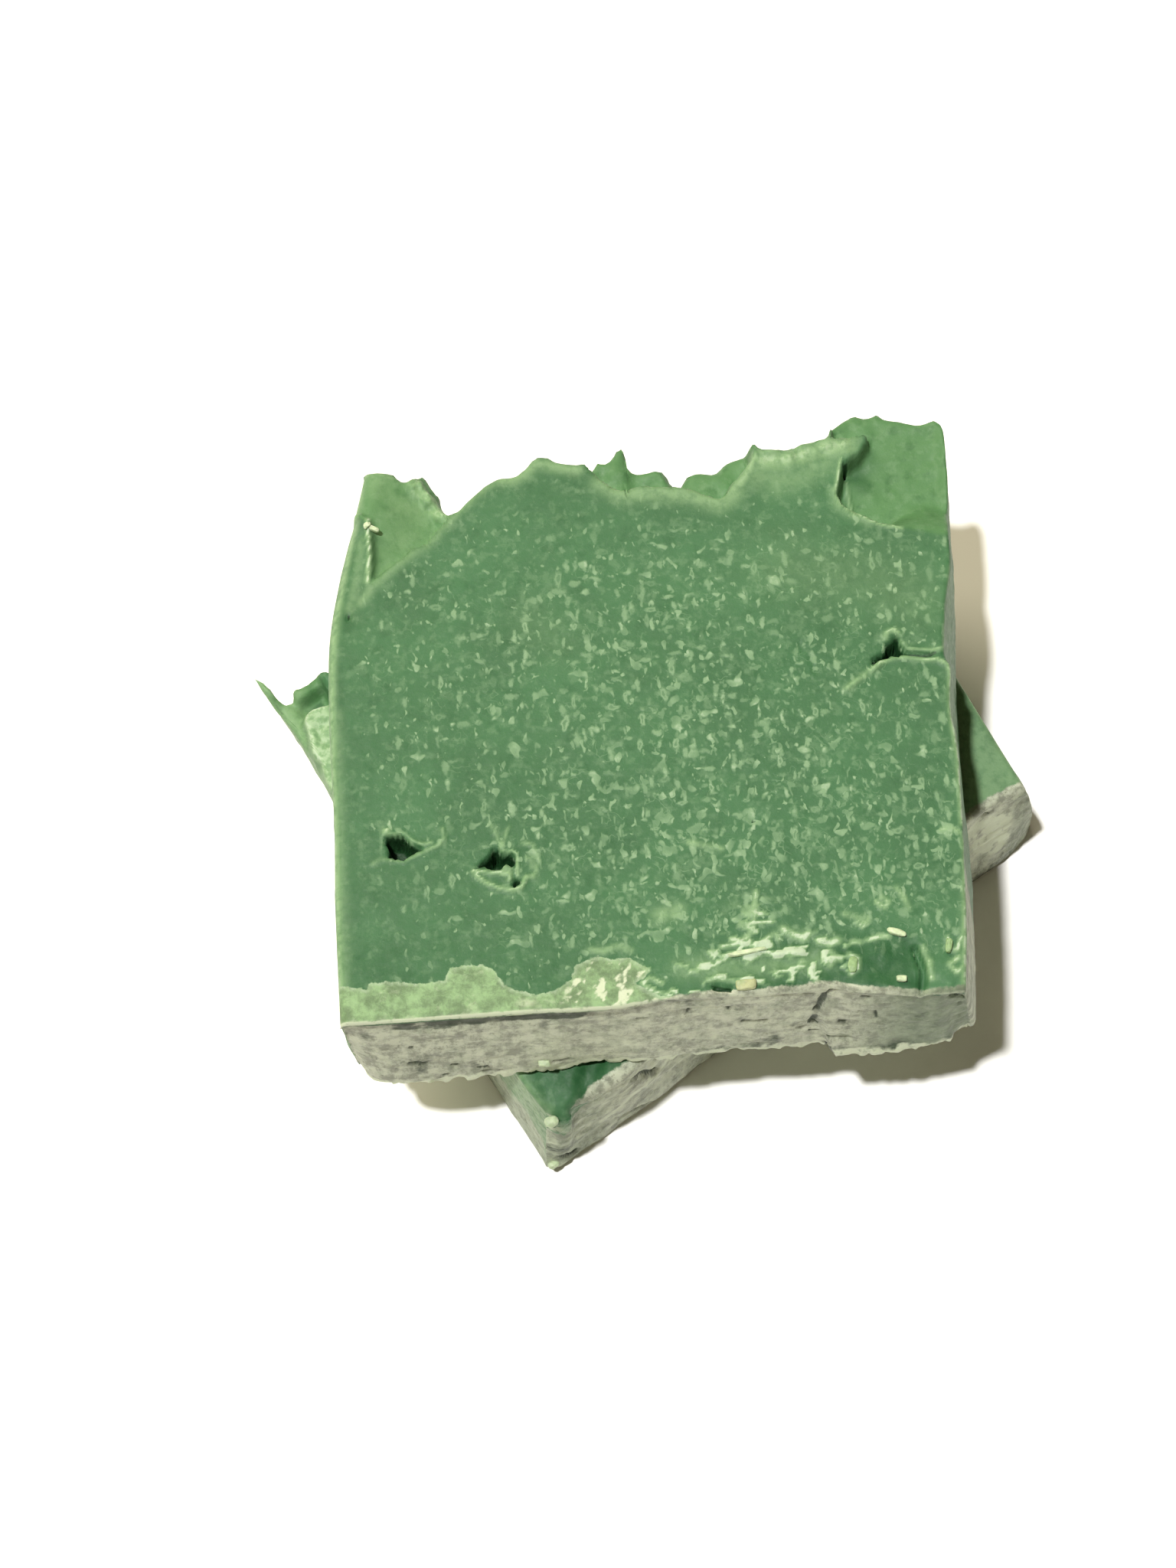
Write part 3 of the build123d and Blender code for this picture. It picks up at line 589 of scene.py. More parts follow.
def upper_wall(side, xy, z, rim_z):
    """How far the upper slice's wall swells out: noise that dies away at the rim. The
    front is crusted ash, opened by slits where a place across and up lies within a
    slit's half width of its line; the sides are smoother and the back is lumpy."""
    p3 = np.column_stack([xy, z])
    x, y = xy.T
    below = rim_z - z
    front, right, back, left = (side == k for k in range(4))
    window = rise(below, 0, 1.2)
    push = window * 0.10 * rubble(p3, 3.0, 61, 3)
    push += back * window * 0.7 * rubble(p3, 5.0, 63, 3)
    push += front * window * (0.16 * rubble(p3 * [0.5, 1, 1.6], 1.8, 65, 3) - 0.25)
    push += front * 0.30 * rise(below, 1.1, 0.1) * rise(x, 2, -3)
    # Under the front lip the wall is pushed in, and the same band is painted near-black as the lip's
    # cast shadow (painted shadow)
    undercut_shadow = rise(below, 0.3, 0.7) * rise(below + 0.8 * cloud(p3, 3.0, 72), 5.0, 3.8)
    under = front * undercut_shadow * rise(x, -36, -30) * rise(x, -4, -10)
    push -= 0.22 * under
    chips = rubble(p3 * [1, 1, 0.5], 1.5, 67, 3)
    push -= front * rise(z, 27.5, 25.0) * np.clip(chips + 0.15, 0, 1) * 0.9
    across_up = np.column_stack([x, z])
    deep = np.full(len(z), -2.0)
    # Painted shadow under the front lip
    dark_and_shade = 1.85 * under * (0.8 + 0.25 * cloud(p3, 1.8, 66))
    f = np.flatnonzero(front)
    # Each slit is cut into the wall and painted near-black inside as painted shade
    for line, half in slits:
        squeezed = across_up[f] * [0.6, 1.0]
        ragged = reach(squeezed, np.array(line) * [0.6, 1.0]) + 0.16 * chips[f]
        cut = (0.72 - 0.34 * (line[0][0] > 17)) * half - ragged
        dark_and_shade[f] = np.maximum(dark_and_shade[f], 1.55 * rise(cut, -0.14, 0.16))
        push[f] -= 0.7 * rise(cut, -0.1, 0.4)
    step_out = front * rise(z, 27.6, 26.4) * rise(x, 22.6, 23.4) * rise(x, 40, 30)
    push += 0.45 * step_out
    tear = rubble(p3 * [1, 1, 0.8], 1.3, 69, 3)
    edge_line = 0.30 + 0.95 * rise(x, -36, -30) * rise(x, -4, -9) * (1 + 0.5 * cloud(p3, 2.2, 68))
    ash = np.where(front, below - edge_line, np.where(back, -5.0, -2.5))
    ash = np.where(right, 1.8 * rise(y, -14, -24) - 1.2, ash)
    right_end = rise(x, 29, 38)
    ash = ash - front * right_end * rise(z, 30, 44) * (1.4 + 1.5 * tear)
    lip = most(
        front * 1.3 * rise(z + 0.8 * tear, 28.2, 26.4),
        front * (0.42 + 0.22 * chips) * rise(x, -30, -16) * rise(x, 27, 22),
        front * near(across_up, [(-13.4, 27.8), (-12.6, 27.8)], 0.9, 0.5),
        0.6 * right * rise(y, -16, -24) * rise(tear, -0.5, 0.6),
    )
    lip = lip * (1 - rise(dark_and_shade, 0.5, 1.0))
    specks = 0.70 + 0.60 * cloud(p3 * [1, 1, 0.5], 2.2, 70) + 0.25 * rise(z, 40, 27) * rise(x, -20, 0)
    dark_and_shade = most(dark_and_shade, 0.5 * front * right_end, front * specks)
    return push, {"pale": 0.35 * left + 0.1 * right, "band": np.full(len(z), -5.0), "deep": deep,
                  "dark_and_shade": dark_and_shade, "fleck": 0.25 * (1 - front), "low": 1.0 * back,
                  "ash": ash, "lip": lip,
                  "grey": np.where(front, 1 - 0.85 * rise(x, 22, 33), np.where(right, 0.6, 0.0))}


# ---------------------------------------------------------------- lower slice

lower_sides = {
    "front": [(-38.6, -29.6), (-37.7, -31.4), (-36.4, -31.8), (-35.6, -30.9), (-32.0, -31.4),
              (-28.1, -31.9), (-20.0, -31.0), (-10.0, -30.4), (0.0, -30.3), (10.0, -30.2),
              (20.0, -29.8), (27.4, -29.4), (31.4, -29.3), (35.4, -29.8), (36.6, -30.0)],
    "right": [(36.6, -30.0), (37.0, -26.0), (37.9, -18.0), (38.6, -11.0), (38.9, 0.0),
              (38.8, 12.0), (38.0, 24.4)],
    "back": [(-36.5, 40.3), (-36.0, 38.9), (-35.8, 37.2), (-35.5, 36.0), (-34.8, 35.3),
             (-33.9, 35.3), (-33.2, 36.2), (-32.2, 36.0), (-31.0, 35.9), (-29.9, 36.0),
             (-28.4, 35.2), (-27.0, 33.5), (-22.5, 32.8), (-17.5, 30.9),
             (-11.6, 32.2), (-5.8, 33.3), (0.8, 31.7), (4.7, 32.4), (9.7, 30.1), (14.7, 30.8),
             (19.4, 28.3), (24.0, 25.9), (28.7, 26.5), (34.1, 24.3), (38.0, 24.4)],
    "left": [(-38.6, -29.6), (-39.0, -26.0), (-38.9, -17.4), (-38.6, -6.0), (-38.3, 8.0),
             (-37.9, 16.0), (-37.5, 20.0), (-36.9, 23.5), (-36.5, 26.5), (-36.3, 30.0),
             (-36.3, 34.0), (-36.7, 37.5), (-36.5, 40.3)],
}
lower_base_sides = {
    "front": [(-39.5, -30.4), (-38.4, -31.2), (-37.2, -31.5), (-28.7, -31.3), (-21.4, -31.3),
              (-14.1, -30.6), (-5.0, -30.9), (5.0, -30.9), (15.0, -31.0), (24.0, -31.1),
              (30.0, -31.1), (35.5, -30.7), (39.2, -29.9), (41.0, -28.8)],
    "right": [(41.0, -28.8), (41.5, -27.6), (41.4, -25.6), (40.6, -22.0), (39.6, -17.0),
              (38.9, -10.0), (38.9, 0.0), (38.8, 12.0), (38.2, 24.4)],
    "back": [(-31.6, 33.2), (-31.0, 33.0), (-29.0, 32.6), (-24.0, 32.2), (-17.5, 31.4),
             (-11.6, 31.8), (-5.8, 32.6), (0.8, 31.8), (9.7, 30.6), (19.4, 28.2),
             (28.7, 26.2), (38.2, 24.4)],
    "left": [(-39.5, -30.4), (-39.2, -27.1), (-38.8, -17.4), (-37.9, -6.0), (-36.8, 8.0),
             (-35.4, 18.0), (-34.2, 25.8), (-32.8, 30.4), (-31.6, 33.2)],
}
lower_mark = [(-37.0, 20.8), (-36.8, 22.6), (-36.2, 24.1), (-35.7, 25.1), (-36.0, 26.2),
              (-35.9, 27.0), (-35.3, 28.4), (-34.8, 29.8), (-34.4, 31.1), (-33.9, 31.7),
              (-32.8, 31.8), (-31.2, 31.3), (-29.6, 30.6), (-28.0, 46.0), (-42.0, 46.0),
              (-42.0, 20.0)]


def lower_top(plan, rim):
    """The lower slice's cut: as the upper one's, with one spoon mark at its left end and
    a worn shoulder along its front edge; nowhere above the cut."""
    p3 = np.column_stack([plan, np.zeros(len(plan))])
    x, y = plan.T
    z = np.full(len(plan), CUT_MIDDLE - 0.05) - 0.04 * np.abs(cloud(p3, 3.0, 71))
    mark_in = inside(plan, lower_mark)
    shelf = 2.6 + 1.2 * rise(x, -35, -33) - 2.0 * rise(y, 33.6, 35.0) * rise(x, -34.5, -33)
    shelf = shelf - 1.9 * rise(y, 35.2, 37.5) * rise(x, -34.8, -35.6)
    z -= shelf * rise(mark_in, 0.0, 0.9)
    ring = [(-31.6, 29.0), (-33.6, 29.5), (-34.1, 28.6), (-34.3, 27.5), (-33.8, 26.7)]
    z -= 0.35 * hump(reach(plan, ring), 0.5)
    front_far = reach(plan, rim["front"][::3])
    for side, radius in (("left", 0.7), ("right", 0.8), ("back", 0.5)):
        z -= drop(reach(plan, rim[side][::3]), radius)
    low_corner = rise(x, -30, -38) * rise(y, -18, -31)
    z -= 1.2 * low_corner + 0.5 * low_corner * rubble(p3, 2.0, 73, 2)
    dent = reach(plan, [(-30.0, -27.5), (-33.0, -30.5)])
    z -= 1.0 * rise(dent, 2.2, 0.3)
    ends = np.maximum(rise(x, -24, -30), rise(x, 22, 28))
    z -= drop(front_far, 0.9 + 1.0 * rise(x, -24, -32)) * ends + drop(front_far, 0.6) * (1 - ends)
    left_far = reach(plan, rim["left"][::3])
    pale = most(
        1.1 * hump(reach(plan, lower_mark[2:13]), 0.5),
        0.90 * rise(x, -30, -32) * rise(y, 18, 22) * (1 - rise(mark_in, 0, 1)),
        0.5 * hump(reach(plan, ring[:4]), 0.5),
        0.5 * hump(left_far, 0.9),
        0.55 * rise(mark_in, 0.3, 1.0) * rise(x, -31.0, -34.5),
        0.9 * hump(reach(plan, rim["right"][::3]), 0.5),
        0.6 * near(plan, [(-36.6, 36.0), (-36.6, 40.0)], 1.0, 0.4),
        0.55 * rise(x, 22, 28),
        1.2 * near(plan, [(-37.1, 21.8)], 0.7, 0.3),
    )
    # Painted shade: the spoon mark's hollow and the line behind its pale lip; the dent and the far
    # left corner are painted darker too
    dark_and_shade = most(
        0.12 * rise(mark_in, 0.4, 1.6),
        0.85 * near(plan, [(-32.9, 33.0), (-31.2, 33.0)], 0.7, 0.2),
        0.6 * rise(dent, 2.8, 0.6),
        # painted shadow of the upper slice across the front of this top
        0.55 * rise(x, -32, -27) * rise(y, -14, -20) * rise(x, 0, -10),
        0.5 * rise(x, -37, -39) * rise(y, -24, -28),
        # painted shadow of the upper slice: a band along the front edge
        0.95 * hump(front_far - 3.2, 1.7) * rise(x, -36.5, -33.5) * rise(x, 0, -10),
    )
    deep = 0.46 - reach(plan, [(-35.1, 26.4)])
    zero = np.zeros(len(plan))
    ash = 0.3 - front_far + 0.8 * rise(x, 22, 28)
    ash = np.where(x > 0, ash, 1.5 * rise(x, -36, -31) * rise(y, 5, -5) - front_far)
    return z, {"pale": pale, "band": zero - 5, "deep": deep, "dark_and_shade": dark_and_shade, "fleck": zero + 0.08,
               "ash": ash, "low": rise(mark_in, 0, 1),
               "lip": 0.15 * rise(left_far, 1.2, 0.2) * rise(y, -5, -12), "grey": zero + 1}


def lower_wall(side, xy, z, rim_z):
    """How far the lower slice's wall swells out: rough ash on the front, lumps at the
    back, and a gentle belly at the front right corner."""
    p3 = np.column_stack([xy, z])
    x, y = xy.T
    below = rim_z - z
    front, right, back, left = (side == k for k in range(4))
    window = rise(below, 0, 1.2)
    push = window * 0.12 * rubble(p3, 3.0, 81, 3)
    push += back * window * 0.5 * rubble(p3, 5.0, 83, 3)
    push += front * window * 0.22 * rubble(p3 * [0.5, 0.5, 1.4], 1.8, 85, 3)
    belly = rise(x, 27, 37) * np.sin(np.pi * np.clip(below / CUT_MIDDLE, 0, 1))
    push += (front + right) * 0.6 * belly * rise(y, -20, -28)
    start = np.interp(x, [-39, -37, -35, -33, -27, -20, 10, 27, 43],
                      [4.5, 6.5, 3.2, 0.6, -0.6, -0.6, 0.0, 0.0, 0.0])
    ash = np.where(front, below - start + 0.4 * rubble(p3, 2.5, 87, 2), -3.0)
    ash = np.where(right, rise(y, -24, -27) * 4 - 3.0, ash)
    left_ash = 0.22 * (below - 13.5) + 0.9 * cloud(p3, 3.0, 88)
    ash = np.where(left, np.minimum(rise(y, -5, -14) * 4 - 3.0, left_ash), ash)
    across_up = np.column_stack([x, z])
    tear = rubble(p3 * [1, 1, 0.8], 1.3, 89, 3)
    # A pale patch on the belly of the front right corner: whitish ash, partly a painted highlight
    # where the belly faces the light
    patch = [(28.0, 20.0), (33.5, 17.0), (33.5, 9.0), (30.5, 14.0)]
    lip = most(
        front * 1.5 * near(across_up, patch, 3.2, 0.8) * rise(tear, -1.1, 0.1),
        0.9 * front * near(across_up, [(-31.0, 9.0), (-24.0, 14.0), (-18.0, 16.0)], 1.6, 0.4),
        front * (0.45 + 0.3 * tear),
        0.45 * left * rise(y, 10, -5),
    )
    # Dark slits and one dark spot on the front wall, and the painted shade at the foot of the right
    # corner; the slits are painted dark inside as painted shade
    slits_spot_and_shade = np.zeros(len(z))
    f = np.flatnonzero(front)
    for line, half in (([(-26.5, 21.0), (-22.8, 15.0)], 0.9), ([(-28.0, 4.0), (-24.0, 2.0)], 0.7),
                       ([(-37.6, 4.6), (-35.6, 2.4)], 0.9), ([(30.5, 22.6), (31.6, 21.4)], 0.4)):
        cut = half - reach(across_up[f], line)
        slits_spot_and_shade[f] = np.maximum(slits_spot_and_shade[f], rise(cut, -0.3, 0.4))
        push[f] -= 0.8 * rise(cut, -0.2, 0.7)
    # Painted shade: the right end of the front and right walls, turned away from the light, is painted
    # darker and browner
    turned_away_shade = (front + right) * rise(x, 33.5, 37.5) * 0.8
    # Painted shade: the foot of the front right corner, where the wall turns under, is painted dark
    underside_shade = rise(z + 0.8 * tear, 6, 2) * rise(x, 22, 26) * rise(x, 40, 36)
    slits_spot_and_shade = most(
        slits_spot_and_shade,
        0.8 * (front + right) * underside_shade,
        0.85 * front * near(across_up, [(-38.8, 9.0), (-37.0, 8.2)], 1.9, 0.9),
    )
    lip = lip * (1 - rise(slits_spot_and_shade, 0.1, 0.6)) * (1 - turned_away_shade)
    # The lower slice's left wall is paler: partly its own pale crust, partly painted light where it
    # faces the lamp
    return push, {"pale": np.where(left, 0.75 + 0.2 * tear - 0.35 * rise(y, -5, -14), 0.1),
                  "band": np.full(len(z), -5.0), "deep": np.full(len(z), -2.0),
                  "dark_and_shade": np.maximum(0.4 * turned_away_shade, 1.5 * slits_spot_and_shade),
                  "fleck": 0.2 * (1 - front), "low": 1.0 * back, "ash": ash, "lip": lip,
                  "grey": 1.0 - 0.5 * turned_away_shade - 0.4 * rise(x, -28, -34)}


# ---------------------------------------------------------------- finishes

class Finish:
    """A small helper that adds shader nodes to one material and joins them."""

    def __init__(self, name):
        self.material = bpy.data.materials.new(name)
        self.material.use_nodes = True
        self.tree = self.material.node_tree
        self.tree.nodes.clear()
        out = self.tree.nodes.new("ShaderNodeOutputMaterial")
        self.shader = self.tree.nodes.new("ShaderNodeBsdfPrincipled")
        self.tree.links.new(self.shader.outputs[0], out.inputs[0])
        self.place = self.tree.nodes.new("ShaderNodeTexCoord").outputs["Object"]

    def put(self, socket, value):
        if isinstance(value, bpy.types.NodeSocket):
            self.tree.links.new(value, socket)
        elif value is not None:
            socket.default_value = value

    def math(self, kind, a, b=None, c=None):
        node = self.tree.nodes.new("ShaderNodeMath")
        node.operation = kind
        for socket, value in zip(node.inputs, (a, b, c)):
            self.put(socket, value)
        return node.outputs[0]

    def times(self, a, b):
        return self.math("MULTIPLY", a, b)

    def plus(self, a, b):
        return self.math("ADD", a, b)

    def most(self, a, b):
        return self.math("MAXIMUM", a, b)

    def scaled(self, a, factor, offset):
        return self.math("MULTIPLY_ADD", a, factor, offset)

    def step(self, value, start, end, low=0.0, high=1.0):
        node = self.tree.nodes.new("ShaderNodeMapRange")
        node.interpolation_type = "SMOOTHSTEP"
        for socket, v in zip(node.inputs, (value, start, end, low, high)):
            self.put(socket, v)
        return node.outputs[0]

    def mix(self, share, a, b, kind="MIX"):
        node = self.tree.nodes.new("ShaderNodeMix")
        node.data_type = "RGBA"
        node.blend_type = kind
        for socket, v in ((node.inputs[0], share), (node.inputs[6], a), (node.inputs[7], b)):
            if isinstance(v, tuple):
                v = (*v, 1.0)
            self.put(socket, v)
        return node.outputs[2]

    def noise(self, size, detail=2.0, rough=0.5, where=None, stretch=None, colour=False):
        node = self.tree.nodes.new("ShaderNodeTexNoise")
        where = where or self.place
        if stretch:
            where = self.stretched(where, stretch)
        self.put(node.inputs["Vector"], where)
        node.inputs["Scale"].default_value = 1 / (size * MM)
        node.inputs["Detail"].default_value = detail
        node.inputs["Roughness"].default_value = rough
        return node.outputs["Color" if colour else "Fac"]

    def stretched(self, where, stretch):
        node = self.tree.nodes.new("ShaderNodeVectorMath")
        node.operation = "MULTIPLY"
        self.put(node.inputs[0], where)
        node.inputs[1].default_value = stretch
        return node.outputs[0]

    def cells(self, size, where, stretch):
        node = self.tree.nodes.new("ShaderNodeTexVoronoi")
        self.put(node.inputs["Vector"], self.stretched(where, stretch))
        node.inputs["Scale"].default_value = 1 / (size * MM)
        split = self.tree.nodes.new("ShaderNodeSeparateColor")
        self.tree.links.new(node.outputs["Color"], split.inputs[0])
        return node.outputs["Distance"], split.outputs[0], split.outputs[1], split.outputs[2]

    def mark(self, name):
        node = self.tree.nodes.new("ShaderNodeAttribute")
        node.attribute_name = name
        return node.outputs["Fac"]

    def moved(self, size, by, where=None):
        node = self.tree.nodes.new("ShaderNodeVectorMath")
        node.operation = "MULTIPLY_ADD"
        self.put(node.inputs[0], self.noise(size, 1.5, colour=True))
        node.inputs[1].default_value = (by * MM * 2,) * 3
        shifted = self.tree.nodes.new("ShaderNodeVectorMath")
        shifted.operation = "ADD"
        self.put(shifted.inputs[0], where or self.place)
        shifted.inputs[1].default_value = (-by * MM,) * 3
        self.put(node.inputs[2], shifted.outputs[0])
        return node.outputs[0]

    def bump(self, height, depth, strength=1.0):
        node = self.tree.nodes.new("ShaderNodeBump")
        node.inputs["Strength"].default_value = strength
        node.inputs["Distance"].default_value = depth * MM
        self.put(node.inputs["Height"], height)
        self.tree.links.new(node.outputs[0], self.shader.inputs["Normal"])


GREEN = (0.046, 0.131, 0.055)
# DEEP_GREEN is the soap's darker tone, and is also used for painted shade
DEEP_GREEN = (0.012, 0.070, 0.020)
SOFT_GREEN = (0.092, 0.205, 0.080)
FLECK = (0.182, 0.300, 0.168)
PALE = (0.215, 0.345, 0.178)
WHITE_SOAP = (0.410, 0.510, 0.370)
BAND = (0.178, 0.275, 0.138)
ASH = (0.355, 0.380, 0.290)
ASH_GREEN = (0.140, 0.190, 0.115)
LIP = (0.545, 0.600, 0.440)


def soap_finish():
    """Cloudy green soap with pale flecks, rings and threads of undissolved soap, a pale
    band and crests, and soda ash where the marks say."""
    m = Finish("green_soap")
    tone = m.noise(11.0, 3.0, 0.6)
    fine = m.noise(0.8, 3.0, 0.6)
    colour = m.mix(m.step(tone, 0.3, 0.7), toned(GREEN, 0.92), toned(GREEN, 1.10))
    colour = m.mix(m.times(m.mark("low"), 0.75), colour, SOFT_GREEN)
    mottle = m.step(m.noise(1.3, 3.0, 0.6), 0.50, 0.68, 0.0, 0.22)
    colour = m.mix(mottle, colour, FLECK)
    colour = m.mix(m.step(m.noise(2.1, 3.0, 0.6), 0.52, 0.72, 0.0, 0.30), colour, DEEP_GREEN)
    density = m.mark("fleck")
    warped = m.moved(1.6, 0.50, m.moved(0.7, 0.10))
    ragged = m.scaled(m.noise(0.55, 2.0), 0.36, -0.18)
    total = None
    for size, stretch, small, large, weight, share in (
            (1.8, (1.0, 1.0, 1.0), 0.24, 0.22, 0.60, 0.60),
            (2.6, (1.9, 0.8, 1.0), 0.22, 0.22, 0.90, 0.44),
            (2.6, (0.85, 1.6, 1.0), 0.20, 0.20, 0.80, 0.34),
            (3.0, (1.3, 0.95, 1.0), 0.20, 0.20, 0.90, 0.34)):
        far, first, second, third = m.cells(size, warped, stretch)
        far = m.plus(far, ragged)
        radius = m.scaled(first, large, small)
        blob = m.step(far, radius, m.times(radius, 0.35))
        hollow = m.step(far, m.times(radius, 0.55), m.times(radius, 0.15), 0.0, 0.65)
        kind = m.math("GREATER_THAN", second, 0.78)
        shape = m.times(blob, m.math("SUBTRACT", 1.0, m.times(hollow, kind)))
        here = m.step(m.math("SUBTRACT", m.times(density, share), third), -0.10, 0.20)
        strength = m.scaled(second, 0.45, 0.6)
        shape = m.times(m.times(shape, here), m.times(strength, weight))
        total = shape if total is None else m.most(total, shape)
    vary = m.step(m.noise(1.9, 1.0), 0.35, 0.65, 0.38, 0.84)
    for size, stretch, level in ((1.35, (1.35, 0.75, 1.0), 0.682), (2.0, (1.0, 1.05, 1.0), 0.686),
                                 (0.90, (1.1, 0.85, 1.0), 0.722)):
        cloudlet = m.noise(size, 1.2, 0.5, where=warped, stretch=stretch)
        start = m.scaled(density, -0.070, level)
        island = m.step(m.math("SUBTRACT", cloudlet, start), 0.0, 0.075)
        total = m.most(total, m.times(island, m.times(vary, m.step(density, 0.0, 0.3))))
    thread = m.math("ABSOLUTE", m.math("SUBTRACT", m.noise(1.6, 1.5, 0.5, where=warped), 0.5))
    thread = m.times(m.step(thread, 0.030, 0.006), m.step(m.noise(2.8, 1.0), 0.52, 0.66))
    thread = m.times(m.times(thread, density), 0.28)
    total = m.most(total, thread)
    colour = m.mix(m.math("MINIMUM", m.times(total, 1.15), 1.0), colour, FLECK)
    bright = m.times(m.step(total, 0.60, 1.0), m.step(fine, 0.45, 0.65, 0.0, 0.55))
    colour = m.mix(bright, colour, WHITE_SOAP)
    # dark_and_shade: the soap's own darker spots and mottling together with painted shade in slits,
    # hollows, clefts and under overhangs
    dark_and_shade = m.mark("dark_and_shade")
    colour = m.mix(m.times(dark_and_shade, m.step(m.noise(2.2, 3.0), 0.2, 0.6, 0.5, 1.0)), colour, DEEP_GREEN)
    pale = m.mark("pale")
    rough_pale = m.times(pale, m.step(m.noise(1.1, 3.0, 0.6), 0.28, 0.6, 0.62, 1.12))
    colour = m.mix(m.math("MINIMUM", rough_pale, 1.0), colour, PALE)
    colour = m.mix(m.step(rough_pale, 0.75, 1.35), colour, WHITE_SOAP)
    band = m.plus(m.mark("band"), m.scaled(m.noise(0.7, 4.0, 0.65), 0.8, -0.4))
    cloudy = m.step(m.noise(2.2, 5.0, 0.72, where=warped), 0.36, 0.66)
    band_tone = m.mix(cloudy, toned(BAND, 0.70), toned(BAND, 1.42))
    band_rim = m.times(m.step(band, 0.7, 0.0), m.step(fine, 0.35, 0.65, 0.1, 0.6))
    band_tone = m.mix(band_rim, band_tone, WHITE_SOAP)
    colour = m.mix(m.step(band, -0.08, 0.10, 0.0, 0.93), colour, band_tone)
    ash = m.plus(m.mark("ash"), m.scaled(m.noise(1.2, 4.0, 0.65), 1.2, -0.6))
    grain = m.noise(1.3, 5.0, 0.72, stretch=(0.95, 0.95, 0.45))
    streak = m.scaled(m.noise(2.0, 5.0, 0.70, stretch=(0.62, 0.62, 1.0)), 0.45,
                    m.times(grain, 0.55))
    ash_tone = m.mix(m.step(streak, 0.41, 0.58), toned(ASH, 0.62), toned(ASH, 1.28))
    ash_tone = m.mix(m.step(m.noise(3.5, 3.0, 0.6), 0.5, 0.75, 0.0, 0.4), ash_tone, ASH_GREEN)
    green_ash = m.mix(m.step(streak, 0.3, 0.7), toned(ASH_GREEN, 0.7), toned(ASH_GREEN, 1.25))
    ash_tone = m.mix(m.mark("grey"), green_ash, ash_tone)
    pores = m.step(m.noise(0.60, 3.0, 0.6, stretch=(0.9, 0.9, 0.5)), 0.60, 0.72, 0.0, 0.60)
    ash_tone = m.mix(pores, ash_tone, toned(ASH, 0.35))
    colour = m.mix(m.step(ash, -0.15, 0.25), colour, ash_tone)
    # Painted shade: where the dark mark passes 0.95 the colour goes near-black, for the slits and for
    # the shadow under the front lip
    shade = m.plus(dark_and_shade, m.scaled(m.noise(0.6, 3.0), 0.6, -0.3))
    colour = m.mix(m.step(shade, 0.95, 1.45, 0.0, 0.88), colour, (0.014, 0.030, 0.012))
    lip = m.times(m.mark("lip"), m.step(m.noise(0.9, 4.0, 0.65), 0.28, 0.55, 0.45, 1.0))
    colour = m.mix(m.step(lip, 0.2, 0.9, 0.0, 0.9), colour, LIP)
    # Painted shade: pits, cracks and grooves, and a small dot on the lower slice, are painted
    # near-black where deep is above zero
    deep = m.plus(m.mark("deep"), m.scaled(m.noise(0.45, 3.0), 0.16, -0.08))
    colour = m.mix(m.step(deep, -0.06, 0.10, 0.0, 0.93), colour, (0.004, 0.030, 0.006))
    m.put(m.shader.inputs["Base Color"], colour)
    m.put(m.shader.inputs["Roughness"], m.step(fine, 0.3, 0.7, 0.48, 0.66))
    m.shader.inputs["IOR"].default_value = 1.45
    m.shader.inputs["Specular IOR Level"].default_value = 0.28
    m.shader.inputs["Subsurface Weight"].default_value = 0.2
    m.shader.inputs["Subsurface Radius"].default_value = (0.8, 1.0, 0.5)
    m.shader.inputs["Subsurface Scale"].default_value = 0.0008
    height = m.plus(m.times(fine, 0.5), m.times(total, 0.45))
    height = m.plus(height, m.times(m.noise(0.35, 3.0), 0.25))
    height = m.plus(height, m.times(m.mark("grey"), m.times(streak, 0.8)))
    m.bump(height, 0.12, 0.75)
    return m.material


def crumb_finish(name, tint):
    """Pale broken soap: one tint clouded towards green at two scales."""
    m = Finish(name)
    colour = m.mix(m.step(m.noise(0.8, 3.0), 0.35, 0.7), toned(tint, 0.75), tint)
    colour = m.mix(m.step(m.noise(1.7, 2.0), 0.5, 0.8, 0.0, 0.5), colour, PALE)
    m.put(m.shader.inputs["Base Color"], colour)
    m.shader.inputs["Roughness"].default_value = 0.55
    m.shader.inputs["Subsurface Weight"].default_value = 0.3
    m.shader.inputs["Subsurface Radius"].default_value = (0.8, 1.0, 0.5)
    m.shader.inputs["Subsurface Scale"].default_value = 0.0008
    m.bump(m.noise(0.4, 3.0), 0.1, 0.6)
    return m.material


soap = soap_finish()
upper = slice_of_soap("upper_slice", upper_sides, upper_base_sides, upper_top, upper_wall,
                      CUT_MIDDLE, 0.0, UPPER_SHIFT)
lower = slice_of_soap("lower_slice", lower_sides, lower_base_sides, lower_top, lower_wall,
                      CUT_FLOOR, LOWER_TURN, (0.0, 0.0))
for piece, node, body in ((upper, "upper_bar", "upper_bar"), (lower, "lower_bar", "lower_bar")):
    piece.data.materials.append(soap)
    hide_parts(node)
    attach(piece, body)

cream = crumb_finish("cream_crumb", (0.400, 0.430, 0.230))
white = crumb_finish("white_crumb", (0.520, 0.620, 0.400))
leaf = crumb_finish("green_crumb", (0.260, 0.400, 0.180))
